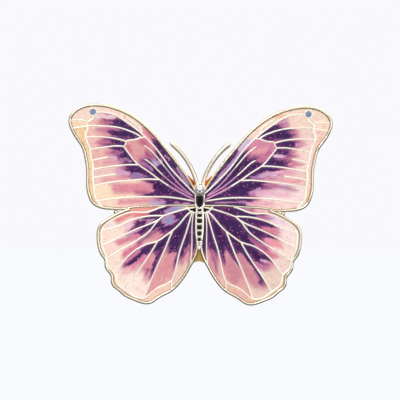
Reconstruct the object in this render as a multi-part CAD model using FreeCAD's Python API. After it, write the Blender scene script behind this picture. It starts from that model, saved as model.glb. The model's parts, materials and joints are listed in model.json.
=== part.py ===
"""Butterfly brooch: four enamelled wings on a gilt body, with a hinged pin and a roll-over catch behind.

Millimetres. +Z is up as worn, the face looks towards -Y and +X is the viewer's right. The origin lies
on the pin stem's axis, in the plane of symmetry. Outlines are drawn as (across, up) pairs: across is
the distance from the plane of symmetry, and up is the height above the waist, where the wings meet.
"""
import FreeCAD, Part
import math
import os

Vector = FreeCAD.Vector

# ---- driving dimensions ----
PIN_UP = 3.4            # height of the pin above the waist
STANDOFF = 3.0          # pin stem's axis to the wings' backs
PLATE_T = 0.8           # wing plates
BORDER_H = 1.1          # border wires, standing on the plates
BORDER_W = 0.75
LOWER_EDGE_W = 0.5      # the forewing's lower border is a thinner wire
ROOT_EDGE_W = 0.5       # and its upper border thins towards the body
CLOISON_H = 0.95        # cell wires, standing on the plates
ENAMEL_H = 0.9          # hard enamel, ground almost flush with the cell wires
VEIN_W = (0.36, 0.3)    # a cell wire at its root and at its tip
VEIN_WIDTHS = {         # the wires that differ
    "cell_spur_upper": (0.24, 0.3),
    "cell_spur_lower": (0.24, 0.3),
    "inner": (0.26, 0.24),
    "submarginal": (0.38, 0.42),
}
DOT_R = 0.7             # eyespot enamel
RING_R = 1.02           # its ring, outside
ARC_TOLERANCE = 0.008   # arcs to the smooth curve that they follow
SMALLEST_CELL = 0.3     # mm2: slivers between wires smaller than this are solder, not enamel

BODY_H = 2.6            # body frame, from the wings' backs to its front
COLLAR_H = 1.5          # its neck, behind the head
CELL_DEPTH = 0.7        # windows in the body frame
CELL_FILL = 0.62        # black enamel in them
HEAD_UP = 3.6
HEAD_R = 1.12
HEAD_FRONT = 2.5        # centre of the head's dome, from the wings' backs
ANTENNA_R = 0.52
ANTENNA_TIP_R = 0.62
ANTENNA_DEPTH = 1.15    # antenna's axis, from the wings' backs
BEAD_R = 0.5            # solder beads between the wings

STEM_R = 0.45
STEM_TIP_R = 0.12
STEM_END = 17.6         # the point
STEM_TAPER = 10.6       # where the taper starts
HINGE_X = -14.6         # hinge rivet's axis
EYE_R = 0.85            # the stem's eye round the rivet
EYE_HALF = 0.68
RIVET_R = 0.35
RIVET_HEAD_R = 0.62
RIVET_HEAD_H = 0.25
RUNNING = 0.04          # radial clearance of moving fits
SIDE_GAP = 0.07         # eye to ear, along the rivet
EAR_T = 0.45
EAR_R = 0.8
HEEL = 2.03             # the heel's reach, which stops the stem on the bar
BAR_T = 0.9
BAR_H = 2.6
BAR_OVERHANG = 2.4      # bar past the rivet's axis and past the catch

CATCH_X = 14.6          # middle of the catch
CATCH_L = 2.6
HOUSING_R = 1.75
ROTOR_R = 1.25
ROTOR_BORE_R = 0.66
SLOT = 1.3              # the way in for the stem
FLANGE_T = 0.4
FLANGE_R = 1.75
TAB_REACH = 3.1
TAB_W = 1.0
TAB_ANGLE = -62.0       # thumb tab at rest, from +Y towards +Z
NECK_W = 1.7

BACK = -STANDOFF
PLATE_FRONT = BACK - PLATE_T
BAR_REAR = BACK + BAR_T
FAR = 60.0

# ---- outlines ----
FOREWING = [
    (0.5, 2.9), (1.3, 4.4), (2.2, 5.9), (4, 8.5), (6, 11.2), (8, 13.6), (10, 16), (12.5, 18.4),
    (15, 20.3), (18, 21.8), (21, 22.7), (24, 23), (26.5, 22.65), (28.3, 21.75), (29.7, 20.2),
    (30, 19.2), (29.55, 17.1), (28.3, 14.9), (27, 13), (26.3, 10.6), (25.9, 8.1), (25.8, 3.8),
    (25.35, 1.9), (24.5, 0.3), (22.6, -0.8), (20, -1.15), (17.2, -1.05), (15, -0.7), (10, -0.37),
    (5, -0.12), (2, -0.12), (0.5, -0.05),
]
THIN_FROM = 17.2        # the forewing's lower border is thin from here inwards
THINS_FROM = 6.0        # and its upper border starts to thin here
HINDWING = [
    (16, -0.6), (17.8, -1.25), (20.2, -2.5), (22.4, -4.1), (23.15, -5.3), (23.35, -6.9), (22.95, -10),
    (22.3, -11.5), (21.5, -12.7), (21.45, -13.8), (20.9, -15), (20.05, -16.2), (20.0, -17.4),
    (19.5, -18.5), (18.3, -19.5), (16.9, -20.7), (15.4, -21.4), (13.8, -22.05), (12.3, -22.45),
    (11.1, -22.4), (8.9, -21.1), (6.2, -19.6), (5, -18.6), (3.9, -17.3), (2.8, -15.7), (1.85, -14),
    (1, -12.5), (0.33, -10.7), (0.02, -9.3),
]
HINDWING_ROOT = [(0.02, 0.6), (16, 0.6)]
BODY = [
    (0, 5.25), (0.7, 5.15), (1.2, 4.7), (1.3, 3.9), (1.22, 2.8), (1.16, 2), (1.12, 0.6), (1.0, -0.3),
    (0.84, -0.75), (0.92, -1.4), (0.98, -3), (0.97, -4.8), (0.85, -6.6), (0.66, -8.1), (0.45, -9.2),
    (0, -9.95),
]
NECK_UP = 2.46          # the body frame is low above this, to take the head

# ---- cell wires: centre lines from the wing's root outwards ----
FORE_VEINS = {
    "radial": [
        (0.9, 2.6), (2, 3.6), (4, 5.6), (7, 8.85), (8.7, 11.2), (10.8, 13.8), (14, 16.8), (17, 18.95),
        (18.8, 20.1), (20.5, 20.8), (22, 21), (23.8, 21),
    ],
    "costal_spur": [(13.2, 15.9), (13.6, 17.25), (15.2, 18.8), (17.2, 20.1)],
    "cell_spur_upper": [
        (1.6, 2.3), (3.3, 3.6), (5, 5.2), (7.3, 7.9), (9.4, 10.5), (11, 12.3), (12.8, 13.65),
    ],
    "cell_spur_lower": [
        (1.6, 2.2), (4, 3.5), (6, 4.9), (8, 6.55), (10, 8.4), (11.8, 10), (12.65, 10.5),
    ],
    "discal_lower": [
        (0.9, 1.2), (3, 2.3), (5, 3.3), (8, 5.1), (10, 6.45), (12, 7.9), (14.1, 9.3), (15.7, 11.05),
        (17.4, 13.3),
    ],
    "discal_end": [
        (12.3, 15.45), (13.4, 15.35), (15.5, 14.75), (16.8, 14.45), (16.95, 13.9), (17.4, 13.2),
    ],
    "median_1": [(13.3, 15.3), (14.4, 16.1), (16, 16.8), (18, 17.45), (21, 17.85), (26, 17.9)],
    "median_2": [(16.7, 14.4), (18, 14.8), (20, 15.2), (22, 15.4), (26, 15.3)],
    "median_3": [(17.2, 13.3), (19, 13.4), (21, 13.2), (25, 12.5)],
    "cubital_1": [(13.8, 9.2), (15, 9.2), (17, 9.1), (19, 8.9), (21, 8.6), (24.5, 8)],
    "cubital_2": [(9.3, 5.85), (12, 5.95), (14, 5.8), (19, 5.3), (24.1, 4.4)],
    "anal": [(0.9, 1.05), (3, 1.4), (7, 1.9), (11, 1.95), (15, 1.85), (18, 1.6), (23.6, 0.85)],
    "margin_tick_upper": [(20.7, 10.85), (22, 10.6), (24.7, 10)],
    "margin_tick_lower": [(18.8, 7), (21, 6.7), (24.5, 6.1)],
    "outer_tick_upper": [(25.6, 19), (27, 19.15), (29.6, 19.1)],
    "outer_tick_lower": [(25.6, 17.75), (27, 17.6), (29.4, 17.2)],
    "submarginal": [
        (24.2, 20.2), (24.5, 19.4), (25.3, 18.95), (25.8, 18.4), (25.62, 17.5), (26, 16.1),
        (25.7, 14.3), (25, 12.4), (24.7, 10.4), (24.35, 9), (24.35, 7), (24, 3.4), (23.75, 1.7),
        (23, 0.5), (22, -0.6),
    ],
}
EYESPOT = (24.45, 21.05)
HIND_VEINS = {
    "upper": [
        (7.6, -0.1), (9, -0.5), (11, -1.28), (12.5, -1.6), (15, -1.55), (17, -2), (19, -2.9),
        (21, -4.25), (22, -5.5),
    ],
    "radial": [(0.9, -0.3), (3.3, -0.75), (5, -1.25), (6.7, -1.8), (8.3, -2.4)],
    "radial_upper": [
        (8, -2.3), (11, -2.37), (13, -2.67), (15, -3.25), (17.3, -4.25), (20, -5.3), (22.3, -5.9),
    ],
    "radial_middle": [(8.1, -2.3), (9.1, -3.1), (11, -4.1), (14, -5.3), (18, -7.25), (22.2, -9.35)],
    "radial_lower": [
        (8.9, -2.95), (9.7, -3.75), (11, -5.5), (13, -7.2), (16, -9.1), (18, -10.25), (21, -12.2),
    ],
    "median": [
        (1.5, -1.1), (2.3, -1.6), (4, -3.5), (6, -5.6), (8, -7.1), (9.5, -8.1), (11.7, -8.75),
        (13.7, -9.7), (15.7, -11.25), (18, -14), (19.1, -15.5),
    ],
    "cubital_1": [
        (6, -5.5), (6.7, -7.2), (7.7, -9.7), (9, -12.7), (10.3, -15.7), (11.5, -18.7), (12.4, -21.3),
    ],
    "cubital_2": [(9.4, -8), (11, -10.8), (13, -13.8), (15, -16.8), (16.7, -19.4)],
    "anal": [
        (1.6, -1.2), (2.2, -3.3), (3.2, -6.7), (4.2, -9.7), (5, -13), (5.6, -15.6), (6.1, -17.1),
        (6.2, -19.2),
    ],
    "inner": [(1.35, -1.4), (1.6, -3.5), (1.65, -8), (1.85, -12.3), (2, -13.8)],
    "scallop": [(5.9, -16.8), (7, -17.6), (9, -18.5), (11, -20), (12.4, -21.2)],
    "submarginal": [
        (12, -21), (13, -21.05), (15, -20.5), (16.7, -19.25), (18.2, -18.1), (18.75, -17), (19, -15.7),
        (20.5, -14), (21, -12), (21.9, -9.7), (22.2, -7), (22.15, -6), (21.5, -4.9),
    ],
    "shoulder": [(3.1, 0), (2.6, -0.65), (2, -1.25), (1.2, -1.5), (0.6, -1.55)],
}
# Body windows: (height of centre, width, height).
ABDOMEN_CELLS = [
    (-0.98, 0.9, 0.55), (-2.15, 1.1, 0.72), (-3.4, 1.2, 0.98), (-4.85, 1.12, 1), (-6.25, 0.98, 1),
    (-7.6, 0.76, 0.76),
]
THORAX_CELL = [(0.84, 2.38), (0.84, 0.75), (0.64, 0.2), (0, -0.4)]
TAIL_WEB = [(0, -9), (1.8, -13.4), (0, -12.6)]
NECK_WEB = [(0.9, 4.3), (1.2, 5.5), (2.85, 7.1), (2.4, 5.4)]
ANTENNA = [(0.6, 4.75), (2.85, 10), (6.35, 13.95)]
BEAD = (18.95, -1.6)


# ---- flat drawing ----
def at(point, y):
    """A drawn (across, up) point at depth y."""
    return Vector(point[0], y, point[1] - PIN_UP)


def line(a, b, y):
    return Part.makeLine(at(a, y), at(b, y))


def smooth(points, y):
    """Tangent arcs that follow a smooth curve through the points."""
    curve = Part.BSplineCurve()
    curve.interpolate([at(p, y) for p in points])
    return [arc.toShape() for arc in curve.toBiArcs(ARC_TOLERANCE)]


def face(edges):
    """A flat face inside a closed run of edges, given in any direction."""
    return Part.Face(Part.Wire(Part.__sortEdges__(edges)))


def outline_face(free, root, y):
    """A free curved edge closed by straight edges through the root points."""
    corners = [free[-1]] + root + [free[0]]
    edges = smooth(free, y)
    for a, b in zip(corners, corners[1:]):
        edges.append(line(a, b, y))
    return face(edges)


def normals(points):
    """Unit normals to the left of the direction of travel."""
    out = []
    for i in range(len(points)):
        a = points[max(i - 1, 0)]
        b = points[min(i + 1, len(points) - 1)]
        length = math.hypot(b[0] - a[0], b[1] - a[1])
        out.append((-(b[1] - a[1]) / length, (b[0] - a[0]) / length))
    return out


def offset(points, widths):
    """The points moved to the left by their widths."""
    pairs = zip(points, normals(points), widths)
    return [(p[0] + n[0] * w, p[1] + n[1] * w) for p, n, w in pairs]


def ribbon(points, width, tip_width, y):
    """A wire seen from in front: a band about its centre line, tapering to its tip."""
    last = len(points) - 1
    half = [(width + (tip_width - width) * i / last) / 2 for i in range(last + 1)]
    left = offset(points, half)
    right = offset(points, [-h for h in half])
    ends = [line(left[-1], right[-1], y), line(right[0], left[0], y)]
    return face(smooth(left, y) + smooth(right, y) + ends)


def disc(centre, radius, y):
    return face([Part.makeCircle(radius, at(centre, y), Vector(0, 1, 0))])


def forward(shape, depth):
    """The faces of shape extruded towards the viewer, as separate solids."""
    return [f.extrude(Vector(0, -depth, 0)) for f in shape.Faces]


def group(solids):
    if len(solids) == 1:
        return solids[0]
    return Part.makeCompound(solids)


def mirrored(shape):
    return shape.mirror(Vector(0, 0, 0), Vector(1, 0, 0))


def parts_of(shape):
    return group(shape.Solids)


# ---- body ----
def half_body(points, y):
    """The closed body outline, from its right half."""
    left = [(-x, up) for x, up in reversed(points)]
    return face(smooth(points, y) + smooth(left, y))


def window(up, width, height, y):
    """A window of the abdomen: a rectangle with bowed sides."""
    w = width / 2
    h = height / 2
    corners = [(-w, up - h), (w, up - h), (w, up + h), (-w, up + h)]
    bows = [(0, up - h * 1.08), (w * 1.08, up), (0, up + h * 1.08), (-w * 1.08, up)]
    edges = []
    for i in range(4):
        a = at(corners[i], y)
        b = at(corners[(i + 1) % 4], y)
        edges.append(Part.Arc(a, at(bows[i], y), b).toShape())
    return face(edges)


def thorax_window(y):
    """An ogive: straight sides that draw in to a point at the waist."""
    side, shoulder, draw, point = THORAX_CELL
    mirror = [(-x, up) for x, up in (shoulder, side)]
    right = Part.Arc(at(shoulder, y), at(draw, y), at(point, y)).toShape()
    left = Part.Arc(at(point, y), at((-draw[0], draw[1]), y), at(mirror[0], y)).toShape()
    straight = [line(side, shoulder, y), line(mirror[0], mirror[1], y), line(mirror[1], side, y)]
    return face(straight + [right, left])


def body():
    """The body frame and its enamel."""
    whole = forward(half_body(BODY, BACK), COLLAR_H)[0]
    front = BACK - BODY_H
    upper = forward(half_body(BODY, BACK - COLLAR_H), BODY_H - COLLAR_H)[0]
    above = Part.makeBox(8, 8, 8, at((-4, NECK_UP), front - 1))
    frame = whole.fuse(upper.cut(above)).removeSplitter()
    floor = front + CELL_DEPTH
    cells = [thorax_window(floor)] + [window(up, w, h, floor) for up, w, h in ABDOMEN_CELLS]
    for cell in cells:
        frame = frame.cut(forward(cell, CELL_DEPTH + 1)[0])
    enamel = [forward(cell, CELL_FILL)[0] for cell in cells]
    return parts_of(frame), group(enamel)


def webs(wings):
    """The thin cast webs that join the frame to the wings: below its tail and beside its neck."""
    top, corner, middle = TAIL_WEB
    other = (-corner[0], corner[1])
    foot = Part.Arc(at(corner, BACK), at(middle, BACK), at(other, BACK)).toShape()
    tail = face([line(top, corner, BACK), foot, line(other, top, BACK)])
    corners = NECK_WEB + NECK_WEB[:1]
    neck = face([line(a, b, BACK) for a, b in zip(corners, corners[1:])])
    out = []
    for flat in (tail, neck):
        web = forward(flat, PLATE_T)[0]
        for key in ("forewing_plate", "hindwing_plate"):
            web = web.cut([wings[key], mirrored(wings[key])])
        out.append(max(web.Solids, key=lambda s: s.Volume))
    out.append(mirrored(out[-1]))
    return out


def with_webs(frame, wings):
    return parts_of(frame.fuse(webs(wings)).removeSplitter())


def head():
    centre = at((0, HEAD_UP), BACK - HEAD_FRONT)
    rod = Part.makeCylinder(HEAD_R, HEAD_FRONT - COLLAR_H, centre, Vector(0, 1, 0))
    dome = Part.makeSphere(HEAD_R, centre, Vector(0, -1, 0), 0, 90, 360)
    return parts_of(rod.fuse(dome).removeSplitter())


def antenna(frame, dome):
    """One arc of round wire with a slightly larger rounded tip."""
    y = BACK - ANTENNA_DEPTH
    start, middle, end = [at(p, y) for p in ANTENNA]
    arc = Part.Arc(start, middle, end)
    path = Part.Wire([arc.toShape()])
    tangent = arc.tangent(arc.FirstParameter)[0]
    profile = Part.Wire([Part.makeCircle(ANTENNA_R, start, tangent)])
    rod = path.makePipeShell([profile], True, False)
    rod = rod.fuse(Part.makeSphere(ANTENNA_TIP_R, end))
    return parts_of(rod.cut(frame).cut(dome))


# ---- wings ----
def cells_and_wires(inside, veins, rings, dots, neighbours):
    """Splits the inner face of a wing into cell wires and enamel, all standing on the plate."""
    y = PLATE_FRONT
    bands = [ribbon(points, *VEIN_WIDTHS.get(name, VEIN_W), y) for name, points in veins.items()]
    bands += rings
    tall = [forward(band, CLOISON_H + 1)[0] for band in bands]
    wall = tall[0].fuse(tall[1:])
    for dot in dots:
        wall = wall.cut(forward(dot, CLOISON_H + 1)[0])
    wires = forward(inside, CLOISON_H)[0].common(wall).removeSplitter()
    enamel = forward(inside, ENAMEL_H)[0].cut(wall)
    for solid in neighbours + [forward(dot, CLOISON_H)[0] for dot in dots]:
        wires = wires.cut(solid)
        enamel = enamel.cut(solid)
    cells = [s for s in enamel.Solids if s.Volume > SMALLEST_CELL * ENAMEL_H]
    return parts_of(wires), group(cells)


def wing(free, widths, root, inner_root, veins, rings, dots, neighbours):
    """Plate, border, cell wires and enamel of a right wing, clear of its neighbours."""
    y = PLATE_FRONT
    inside = outline_face(offset(free, [-w for w in widths]), inner_root, y)
    plate = forward(outline_face(free, root, BACK), PLATE_T)[0]
    whole = forward(outline_face(free, root, y), BORDER_H)[0]
    border = whole.cut(forward(inside, BORDER_H)[0])
    for solid in neighbours:
        plate = plate.cut(solid)
        border = border.cut(solid)
    wires, cells = cells_and_wires(inside, veins, rings, dots, neighbours)
    return {"plate": parts_of(plate), "border": parts_of(border), "cloisons": wires, "enamel": cells}


def right_wings():
    """The nodes of the right forewing and hindwing, and the eyespot."""
    y = PLATE_FRONT
    body_prism = forward(half_body(BODY, BACK + 1), FAR)[0]
    widths = []
    for across, up in FOREWING:
        if up > 0.3:
            thinned = max(1 - across / THINS_FROM, 0)
            widths.append(BORDER_W - (BORDER_W - ROOT_EDGE_W) * thinned)
        else:
            widths.append(LOWER_EDGE_W if across <= THIN_FROM else BORDER_W)
    dot = disc(EYESPOT, DOT_R, y)
    ring = disc(EYESPOT, RING_R, y)
    fore = wing(FOREWING, widths, [], [], FORE_VEINS, [ring], [dot], [body_prism])
    fore_prism = forward(outline_face(FOREWING, [], BACK + 1), FAR)[0]
    widths = [BORDER_W] * len(HINDWING)
    (left, top), (right, _) = HINDWING_ROOT
    inner_root = [(left + BORDER_W, top), (right - BORDER_W, top)]
    neighbours = [body_prism, fore_prism]
    hind = wing(HINDWING, widths, HINDWING_ROOT, inner_root, HIND_VEINS, [], [], neighbours)
    nodes = {"forewing_" + key: shape for key, shape in fore.items()}
    nodes.update({"hindwing_" + key: shape for key, shape in hind.items()})
    nodes["eyespot"] = forward(dot, ENAMEL_H)[0]
    return nodes


def beads(wings):
    """A solder bead in each notch between forewing and hindwing."""
    bead = Part.makeSphere(BEAD_R, at(BEAD, PLATE_FRONT - BORDER_H / 2))
    for key in ("forewing_plate", "forewing_border", "hindwing_plate", "hindwing_border"):
        bead = bead.cut(wings[key])
    bead = max(bead.Solids, key=lambda s: s.Volume)
    return group([bead, mirrored(bead)])


# ---- pin and catch ----
def along_x(radius, x0, x1):
    return Part.makeCylinder(radius, x1 - x0, Vector(x0, 0, 0), Vector(1, 0, 0))


def along_z(radius, z0, z1):
    return Part.makeCylinder(radius, z1 - z0, Vector(HINGE_X, 0, z0), Vector(0, 0, 1))


def slotted(tube, x0, x1):
    """Opens a tube towards +Y, so that the stem can swing in."""
    return tube.cut(Part.makeBox(x1 - x0, 2 * HOUSING_R, SLOT, Vector(x0, 0, -SLOT / 2)))


def pin_bar():
    """The soldered strip with rounded ends, and its two hinge ears."""
    x0 = HINGE_X - BAR_OVERHANG
    x1 = CATCH_X + CATCH_L / 2 + BAR_OVERHANG
    end = BAR_H / 2
    bar = Part.makeBox(x1 - x0 - BAR_H, BAR_T, BAR_H, Vector(x0 + end, BACK, -end))
    for x in (x0 + end, x1 - end):
        bar = bar.fuse(Part.makeCylinder(end, BAR_T, Vector(x, BACK, 0), Vector(0, 1, 0)))
    inner = EYE_HALF + SIDE_GAP
    for low in (inner, -inner - EAR_T):
        ear = Part.makeBox(2 * EAR_R, -BAR_REAR, EAR_T, Vector(HINGE_X - EAR_R, BAR_REAR, low))
        bar = bar.fuse([ear, along_z(EAR_R, low, low + EAR_T)])
    bar = bar.cut(along_z(RIVET_R, -FAR, FAR))
    return parts_of(bar.removeSplitter())


def hinge_rivet():
    """A headed pin, clenched tight in both ears."""
    reach = EYE_HALF + SIDE_GAP + EAR_T
    shank = along_z(RIVET_R, -reach, reach)
    top = along_z(RIVET_HEAD_R, reach, reach + RIVET_HEAD_H)
    bottom = along_z(RIVET_HEAD_R, -reach - RIVET_HEAD_H, -reach)
    return parts_of(shank.fuse([top, bottom]).removeSplitter())


def pin_stem():
    """Eye, heel, straight stem and tapered point, in one piece."""
    stem = along_x(STEM_R, HINGE_X, STEM_TAPER)
    tip_x = STEM_END - STEM_TIP_R
    start = Vector(STEM_TAPER, 0, 0)
    taper = Part.makeCone(STEM_R, STEM_TIP_R, tip_x - STEM_TAPER, start, Vector(1, 0, 0))
    tip = Part.makeSphere(STEM_TIP_R, Vector(tip_x, 0, 0))
    heel = Part.makeBox(HEEL, 2 * STEM_R, 2 * STEM_R, Vector(HINGE_X - HEEL, -STEM_R, -STEM_R))
    eye = along_z(EYE_R, -EYE_HALF, EYE_HALF)
    whole = stem.fuse([taper, tip, heel, eye]).cut(along_z(RIVET_R + RUNNING, -FAR, FAR))
    return parts_of(whole.removeSplitter())


def catch_housing():
    """A slotted ring on a neck that stands on the bar."""
    x0 = CATCH_X - CATCH_L / 2
    x1 = CATCH_X + CATCH_L / 2
    neck = Part.makeBox(CATCH_L, -BAR_REAR, NECK_W, Vector(x0, BAR_REAR, -NECK_W / 2))
    ring = along_x(HOUSING_R, x0, x1).fuse(neck)
    ring = ring.cut(along_x(ROTOR_R + RUNNING, x0 - 1, x1 + 1))
    return parts_of(slotted(ring, x0 - 1, x1 + 1).removeSplitter())


def catch_rotor():
    """The slotted sleeve inside the ring, with an end collar, a flange and a thumb tab."""
    x0 = CATCH_X - CATCH_L / 2 - SIDE_GAP
    x1 = CATCH_X + CATCH_L / 2 + SIDE_GAP
    sleeve = along_x(ROTOR_R, x0, x1)
    sleeve = sleeve.fuse([along_x(FLANGE_R, x0 - FLANGE_T, x0), along_x(FLANGE_R, x1, x1 + FLANGE_T)])
    tab = Part.makeBox(FLANGE_T, TAB_REACH - TAB_W / 2, TAB_W, Vector(x1, 0, -TAB_W / 2))
    thumb = Part.makeCylinder(TAB_W / 2, FLANGE_T, Vector(x1, TAB_REACH - TAB_W / 2, 0), Vector(1, 0, 0))
    tab = tab.fuse(thumb)
    tab.rotate(Vector(0, 0, 0), Vector(1, 0, 0), TAB_ANGLE)
    whole = sleeve.fuse(tab).cut(along_x(ROTOR_BORE_R, x0 - FAR, x1 + FAR))
    return parts_of(slotted(whole, x0 - 1, x1 + 1).removeSplitter())


# ---- assembly ----
def assemble():
    """All nodes, by name."""
    frame, enamel = body()
    dome = head()
    feeler = antenna(frame, dome)
    wings = right_wings()
    nodes = {
        "body_frame": with_webs(frame, wings),
        "body_enamel": enamel,
        "head": dome,
        "solder_beads": beads(wings),
        "pin_bar": pin_bar(),
        "hinge_rivet": hinge_rivet(),
        "pin_stem": pin_stem(),
        "catch_housing": catch_housing(),
        "catch_rotor": catch_rotor(),
    }
    paired = dict(wings, antenna=feeler)
    for name, shape in paired.items():
        nodes["right_" + name] = shape
        nodes["left_" + name] = mirrored(shape)
    return nodes


def main():
    os.makedirs("parts", exist_ok=True)
    for name, shape in assemble().items():
        if not shape.isValid():
            raise ValueError(name + " is not a valid shape")
        shape.exportStep("parts/" + name + ".step")
        print(name, len(shape.Solids), round(shape.Volume, 2))


main()
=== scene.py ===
"""Looks of the butterfly brooch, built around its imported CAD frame."""

import json
import math

import bmesh
import bpy
import numpy as np
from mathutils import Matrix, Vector, geometry, noise

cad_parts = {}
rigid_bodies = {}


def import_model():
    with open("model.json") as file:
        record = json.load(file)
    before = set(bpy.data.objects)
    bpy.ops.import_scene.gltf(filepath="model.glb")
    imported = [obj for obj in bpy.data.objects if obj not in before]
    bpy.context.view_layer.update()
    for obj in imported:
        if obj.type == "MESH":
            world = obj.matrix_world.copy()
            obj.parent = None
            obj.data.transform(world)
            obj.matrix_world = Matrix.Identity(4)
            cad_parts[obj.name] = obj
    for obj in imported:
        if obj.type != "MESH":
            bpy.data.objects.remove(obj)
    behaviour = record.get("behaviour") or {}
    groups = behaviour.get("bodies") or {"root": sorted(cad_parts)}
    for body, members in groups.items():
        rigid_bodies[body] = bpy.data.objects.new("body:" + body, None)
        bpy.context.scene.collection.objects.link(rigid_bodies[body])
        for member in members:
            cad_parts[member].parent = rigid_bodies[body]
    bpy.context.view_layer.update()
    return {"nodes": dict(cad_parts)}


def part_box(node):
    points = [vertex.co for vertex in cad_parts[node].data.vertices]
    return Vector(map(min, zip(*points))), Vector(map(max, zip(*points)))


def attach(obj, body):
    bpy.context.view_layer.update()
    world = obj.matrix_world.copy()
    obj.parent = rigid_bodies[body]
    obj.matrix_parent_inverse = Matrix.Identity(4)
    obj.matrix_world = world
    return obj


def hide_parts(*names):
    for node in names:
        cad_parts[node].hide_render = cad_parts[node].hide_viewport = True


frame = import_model()
STAGE = bpy.context.scene.collection.objects

# ---- depths and heights, read from the frame (metres) ----
MM = 0.001
PIN_UP = 3.4            # the pin lies this far (mm) above the waist, where drawn heights start
BACK_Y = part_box("right_forewing_plate")[1].y
PLATE_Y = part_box("right_forewing_plate")[0].y
BORDER_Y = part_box("right_forewing_border")[0].y
ENAMEL_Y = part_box("right_forewing_enamel")[0].y
BODY_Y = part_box("body_frame")[0].y
SIDES = {"right": 1, "left": -1}

# ---- the drawing, as in the CAD: (across, up) in mm, the right half ----
FOREWING = [
    (0.5, 2.9), (1.3, 4.4), (2.2, 5.9), (4, 8.5), (6, 11.2), (8, 13.6), (10, 16), (12.5, 18.4), (15, 20.3),
    (18, 21.8), (21, 22.7), (24, 23), (26.5, 22.65), (28.3, 21.75), (29.7, 20.2), (30, 19.2), (29.55, 17.1),
    (28.3, 14.9), (27, 13), (26.3, 10.6), (25.9, 8.1), (25.8, 3.8), (25.35, 1.9), (24.5, 0.3), (22.6, -0.8),
    (20, -1.15), (17.2, -1.05), (15, -0.7), (10, -0.37), (5, -0.12), (2, -0.12), (0.5, -0.05),
]
HINDWING = [
    (16, -0.6), (17.8, -1.25), (20.2, -2.5), (22.4, -4.1), (23.15, -5.3), (23.35, -6.9), (22.95, -10),
    (22.3, -11.5), (21.5, -12.7), (21.45, -13.8), (20.9, -15), (20.05, -16.2), (20.0, -17.4), (19.5, -18.5),
    (18.3, -19.5), (16.9, -20.7), (15.4, -21.4), (13.8, -22.05), (12.3, -22.45), (11.1, -22.4),
    (8.9, -21.1), (6.2, -19.6), (5, -18.6), (3.9, -17.3), (2.8, -15.7), (1.85, -14), (1, -12.5),
    (0.33, -10.7), (0.02, -9.3),
]
BORDER_W = 0.75
LOWER_EDGE_W = 0.5
ROOT_EDGE_W = 0.5
THIN_FROM = 17.2
THINS_FROM = 6.0
FORE_VEINS = {
    "radial": [(0.9, 2.6), (2, 3.6), (4, 5.6), (7, 8.85), (8.7, 11.2), (10.8, 13.8), (14, 16.8),
        (17, 18.95), (18.8, 20.1), (20.5, 20.8), (22, 21), (23.8, 21)],
    "costal_spur": [(13.2, 15.9), (13.6, 17.25), (15.2, 18.8), (17.2, 20.1)],
    "cell_spur_upper": [(1.6, 2.3), (3.3, 3.6), (5, 5.2), (7.3, 7.9), (9.4, 10.5), (11, 12.3),
        (12.8, 13.65)],
    "cell_spur_lower": [(1.6, 2.2), (4, 3.5), (6, 4.9), (8, 6.55), (10, 8.4), (11.8, 10), (12.65, 10.5)],
    "discal_lower": [(0.9, 1.2), (3, 2.3), (5, 3.3), (8, 5.1), (10, 6.45), (12, 7.9), (14.1, 9.3),
        (15.7, 11.05), (17.4, 13.3)],
    "discal_end": [(12.3, 15.45), (13.4, 15.35), (15.5, 14.75), (16.8, 14.45), (16.95, 13.9), (17.4, 13.2)],
    "median_1": [(13.3, 15.3), (14.4, 16.1), (16, 16.8), (18, 17.45), (21, 17.85), (26, 17.9)],
    "median_2": [(16.7, 14.4), (18, 14.8), (20, 15.2), (22, 15.4), (26, 15.3)],
    "median_3": [(17.2, 13.3), (19, 13.4), (21, 13.2), (25, 12.5)],
    "cubital_1": [(13.8, 9.2), (15, 9.2), (17, 9.1), (19, 8.9), (21, 8.6), (24.5, 8)],
    "cubital_2": [(9.3, 5.85), (12, 5.95), (14, 5.8), (19, 5.3), (24.1, 4.4)],
    "anal": [(0.9, 1.05), (3, 1.4), (7, 1.9), (11, 1.95), (15, 1.85), (18, 1.6), (23.6, 0.85)],
    "margin_tick_upper": [(20.7, 10.85), (22, 10.6), (24.7, 10)],
    "margin_tick_lower": [(18.8, 7), (21, 6.7), (24.5, 6.1)],
    "outer_tick_upper": [(25.6, 19), (27, 19.15), (29.6, 19.1)],
    "outer_tick_lower": [(25.6, 17.75), (27, 17.6), (29.4, 17.2)],
    "submarginal": [(24.2, 20.2), (24.5, 19.4), (25.3, 18.95), (25.8, 18.4), (25.62, 17.5), (26, 16.1),
        (25.7, 14.3), (25, 12.4), (24.7, 10.4), (24.35, 9), (24.35, 7), (24, 3.4), (23.75, 1.7), (23, 0.5),
        (22, -0.6)],
}
EYESPOT = (24.45, 21.05)
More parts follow.
